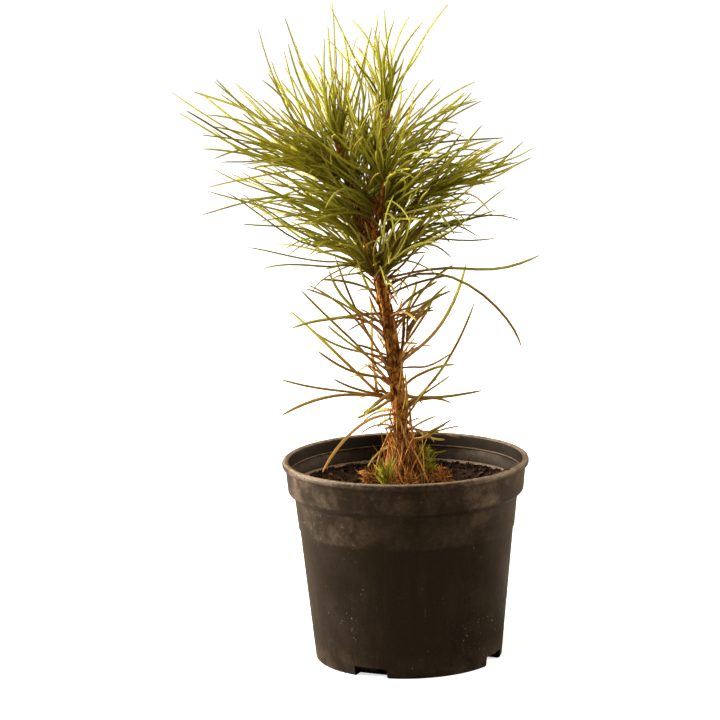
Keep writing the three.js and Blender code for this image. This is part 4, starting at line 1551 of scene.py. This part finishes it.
def floor_paper(stage):
    """White paper that looks bright to the camera and casts little light up at the pot."""
    made = Finish("floor_paper", 0.9, 0.0)
    shade = made.node("ShaderNodeBsdfDiffuse", Color=(0.23, 0.20, 0.165))
    lit = made.node("ShaderNodeBsdfDiffuse", Color=tuple(stage.floor))
    reach = made.node("ShaderNodeVectorMath", Vector=made.coordinates)
    reach.operation = "LENGTH"
    glow = made.node("ShaderNodeEmission", Color=(1.0, 1.0, 1.0))
    made.set(glow.inputs["Strength"], made.fade(reach.outputs["Value"], 0.10, 1.2, 0.66, 1.0))
    both = made.tree.nodes.new("ShaderNodeAddShader")
    made.tree.links.new(lit.outputs[0], both.inputs[0])
    made.tree.links.new(glow.outputs[0], both.inputs[1])
    rays, mix = made.node("ShaderNodeLightPath"), made.tree.nodes.new("ShaderNodeMixShader")
    made.tree.links.new(rays.outputs["Is Camera Ray"], mix.inputs[0])
    made.tree.links.new(shade.outputs[0], mix.inputs[1])
    made.tree.links.new(both.outputs[0], mix.inputs[2])
    made.tree.links.new(mix.outputs[0], made.tree.nodes["Material Output"].inputs["Surface"])
    return made.material


ROOM_LIGHT = 0.07  # strength of the room round the object, beside a white backdrop of 1


def light_world(scene):
    """White behind the object, and a dim warm room round it."""
    world = bpy.data.worlds.new("studio")
    world.use_nodes = True
    scene.world = world
    nodes, links = world.node_tree.nodes, world.node_tree.links
    backdrop, surround = nodes["Background"], nodes.new("ShaderNodeBackground")
    backdrop.inputs["Color"].default_value = (1.0, 1.0, 1.0, 1.0)
    surround.inputs["Color"].default_value = (1.0, 0.90, 0.76, 1.0)
    surround.inputs["Strength"].default_value = ROOM_LIGHT
    rays, mix = nodes.new("ShaderNodeLightPath"), nodes.new("ShaderNodeMixShader")
    links.new(rays.outputs["Is Camera Ray"], mix.inputs[0])
    links.new(surround.outputs[0], mix.inputs[1])
    links.new(backdrop.outputs[0], mix.inputs[2])
    links.new(mix.outputs[0], nodes["World Output"].inputs["Surface"])
    scene.view_settings.view_transform = "Standard"


def add_camera(stage):
    spot, target = Vector(CAMERA_PLACE) * MM, Vector(CAMERA_TARGET) * MM
    ahead = (target - spot).normalized()
    right = ahead.cross(Vector((0, 0, 1))).normalized()
    up = right.cross(ahead)
    turned = math.cos(stage.roll) * right + math.sin(stage.roll) * up
    upright = math.cos(stage.roll) * up - math.sin(stage.roll) * right
    axes = Matrix((turned, upright, -ahead)).transposed().to_4x4()
    bpy.ops.object.camera_add()
    camera = bpy.context.object
    camera.name = "camera"
    camera.matrix_world = Matrix.Translation(spot) @ axes
    camera.data.sensor_width = 36.0
    camera.data.lens = stage.lens / MM
    camera.data.clip_end = 100.0
    return camera


class PINE_OT_make_stage(bpy.types.Operator):
    """Makes the pale floor, the soft lights and the camera"""

    bl_idname = "pine.make_stage"
    bl_label = "Stage"

    def execute(self, context):
        stage, scene = settings("stage"), context.scene
        bpy.ops.object.select_all(action="DESELECT")
        bpy.ops.mesh.primitive_plane_add(size=stage.floor_size)
        floor = context.object
        floor.name = "floor"
        floor.data.materials.append(floor_paper(stage))
        for name, light in LIGHTS.items():
            soft_light(name, *light)
        light_world(scene)
        scene.camera = add_camera(stage)
        return {"FINISHED"}


# ---- Panel ----


GROUPS = {
    "pot": PinePotSettings,
    "soil": PineSoilSettings,
    "stem": PineStemSettings,
    "needle": PineNeedleSettings,
    "ground": PineGroundSettings,
    "stage": PineStageSettings,
}

OPERATORS = (
    PINE_OT_make_stage,
    PINE_OT_make_pot,
    PINE_OT_make_soil,
    PINE_OT_make_stems,
    PINE_OT_make_strands,
    PINE_OT_make_needles,
    PINE_OT_make_ground_cover,
    PINE_OT_make_chips,
)


class PINE_PT_panel(bpy.types.Panel):
    """The steps that make the potted pine, and their settings"""

    bl_idname = "PINE_PT_panel"
    bl_label = "Potted Pine"
    bl_space_type = "VIEW_3D"
    bl_region_type = "UI"
    bl_category = "Potted Pine"

    def draw(self, context):
        layout = self.layout
        for operator in OPERATORS:
            layout.operator(operator.bl_idname)
        for kind, group in GROUPS.items():
            box = layout.box()
            box.label(text=kind.capitalize())
            for name in group.__annotations__:
                box.prop(settings(kind), name)


def register():
    for group in GROUPS.values():
        bpy.utils.register_class(group)
    for kind, group in GROUPS.items():
        setattr(bpy.types.Scene, f"pine_{kind}", PointerProperty(type=group))
    for operator in OPERATORS:
        bpy.utils.register_class(operator)
    bpy.utils.register_class(PINE_PT_panel)


def unregister():
    bpy.utils.unregister_class(PINE_PT_panel)
    for operator in reversed(OPERATORS):
        bpy.utils.unregister_class(operator)
    for kind, group in GROUPS.items():
        delattr(bpy.types.Scene, f"pine_{kind}")
        bpy.utils.unregister_class(group)


def main():
    register()
    for operator in OPERATORS:
        getattr(bpy.ops.pine, operator.bl_idname.removeprefix("pine."))()


if __name__ == "__main__":
    main()
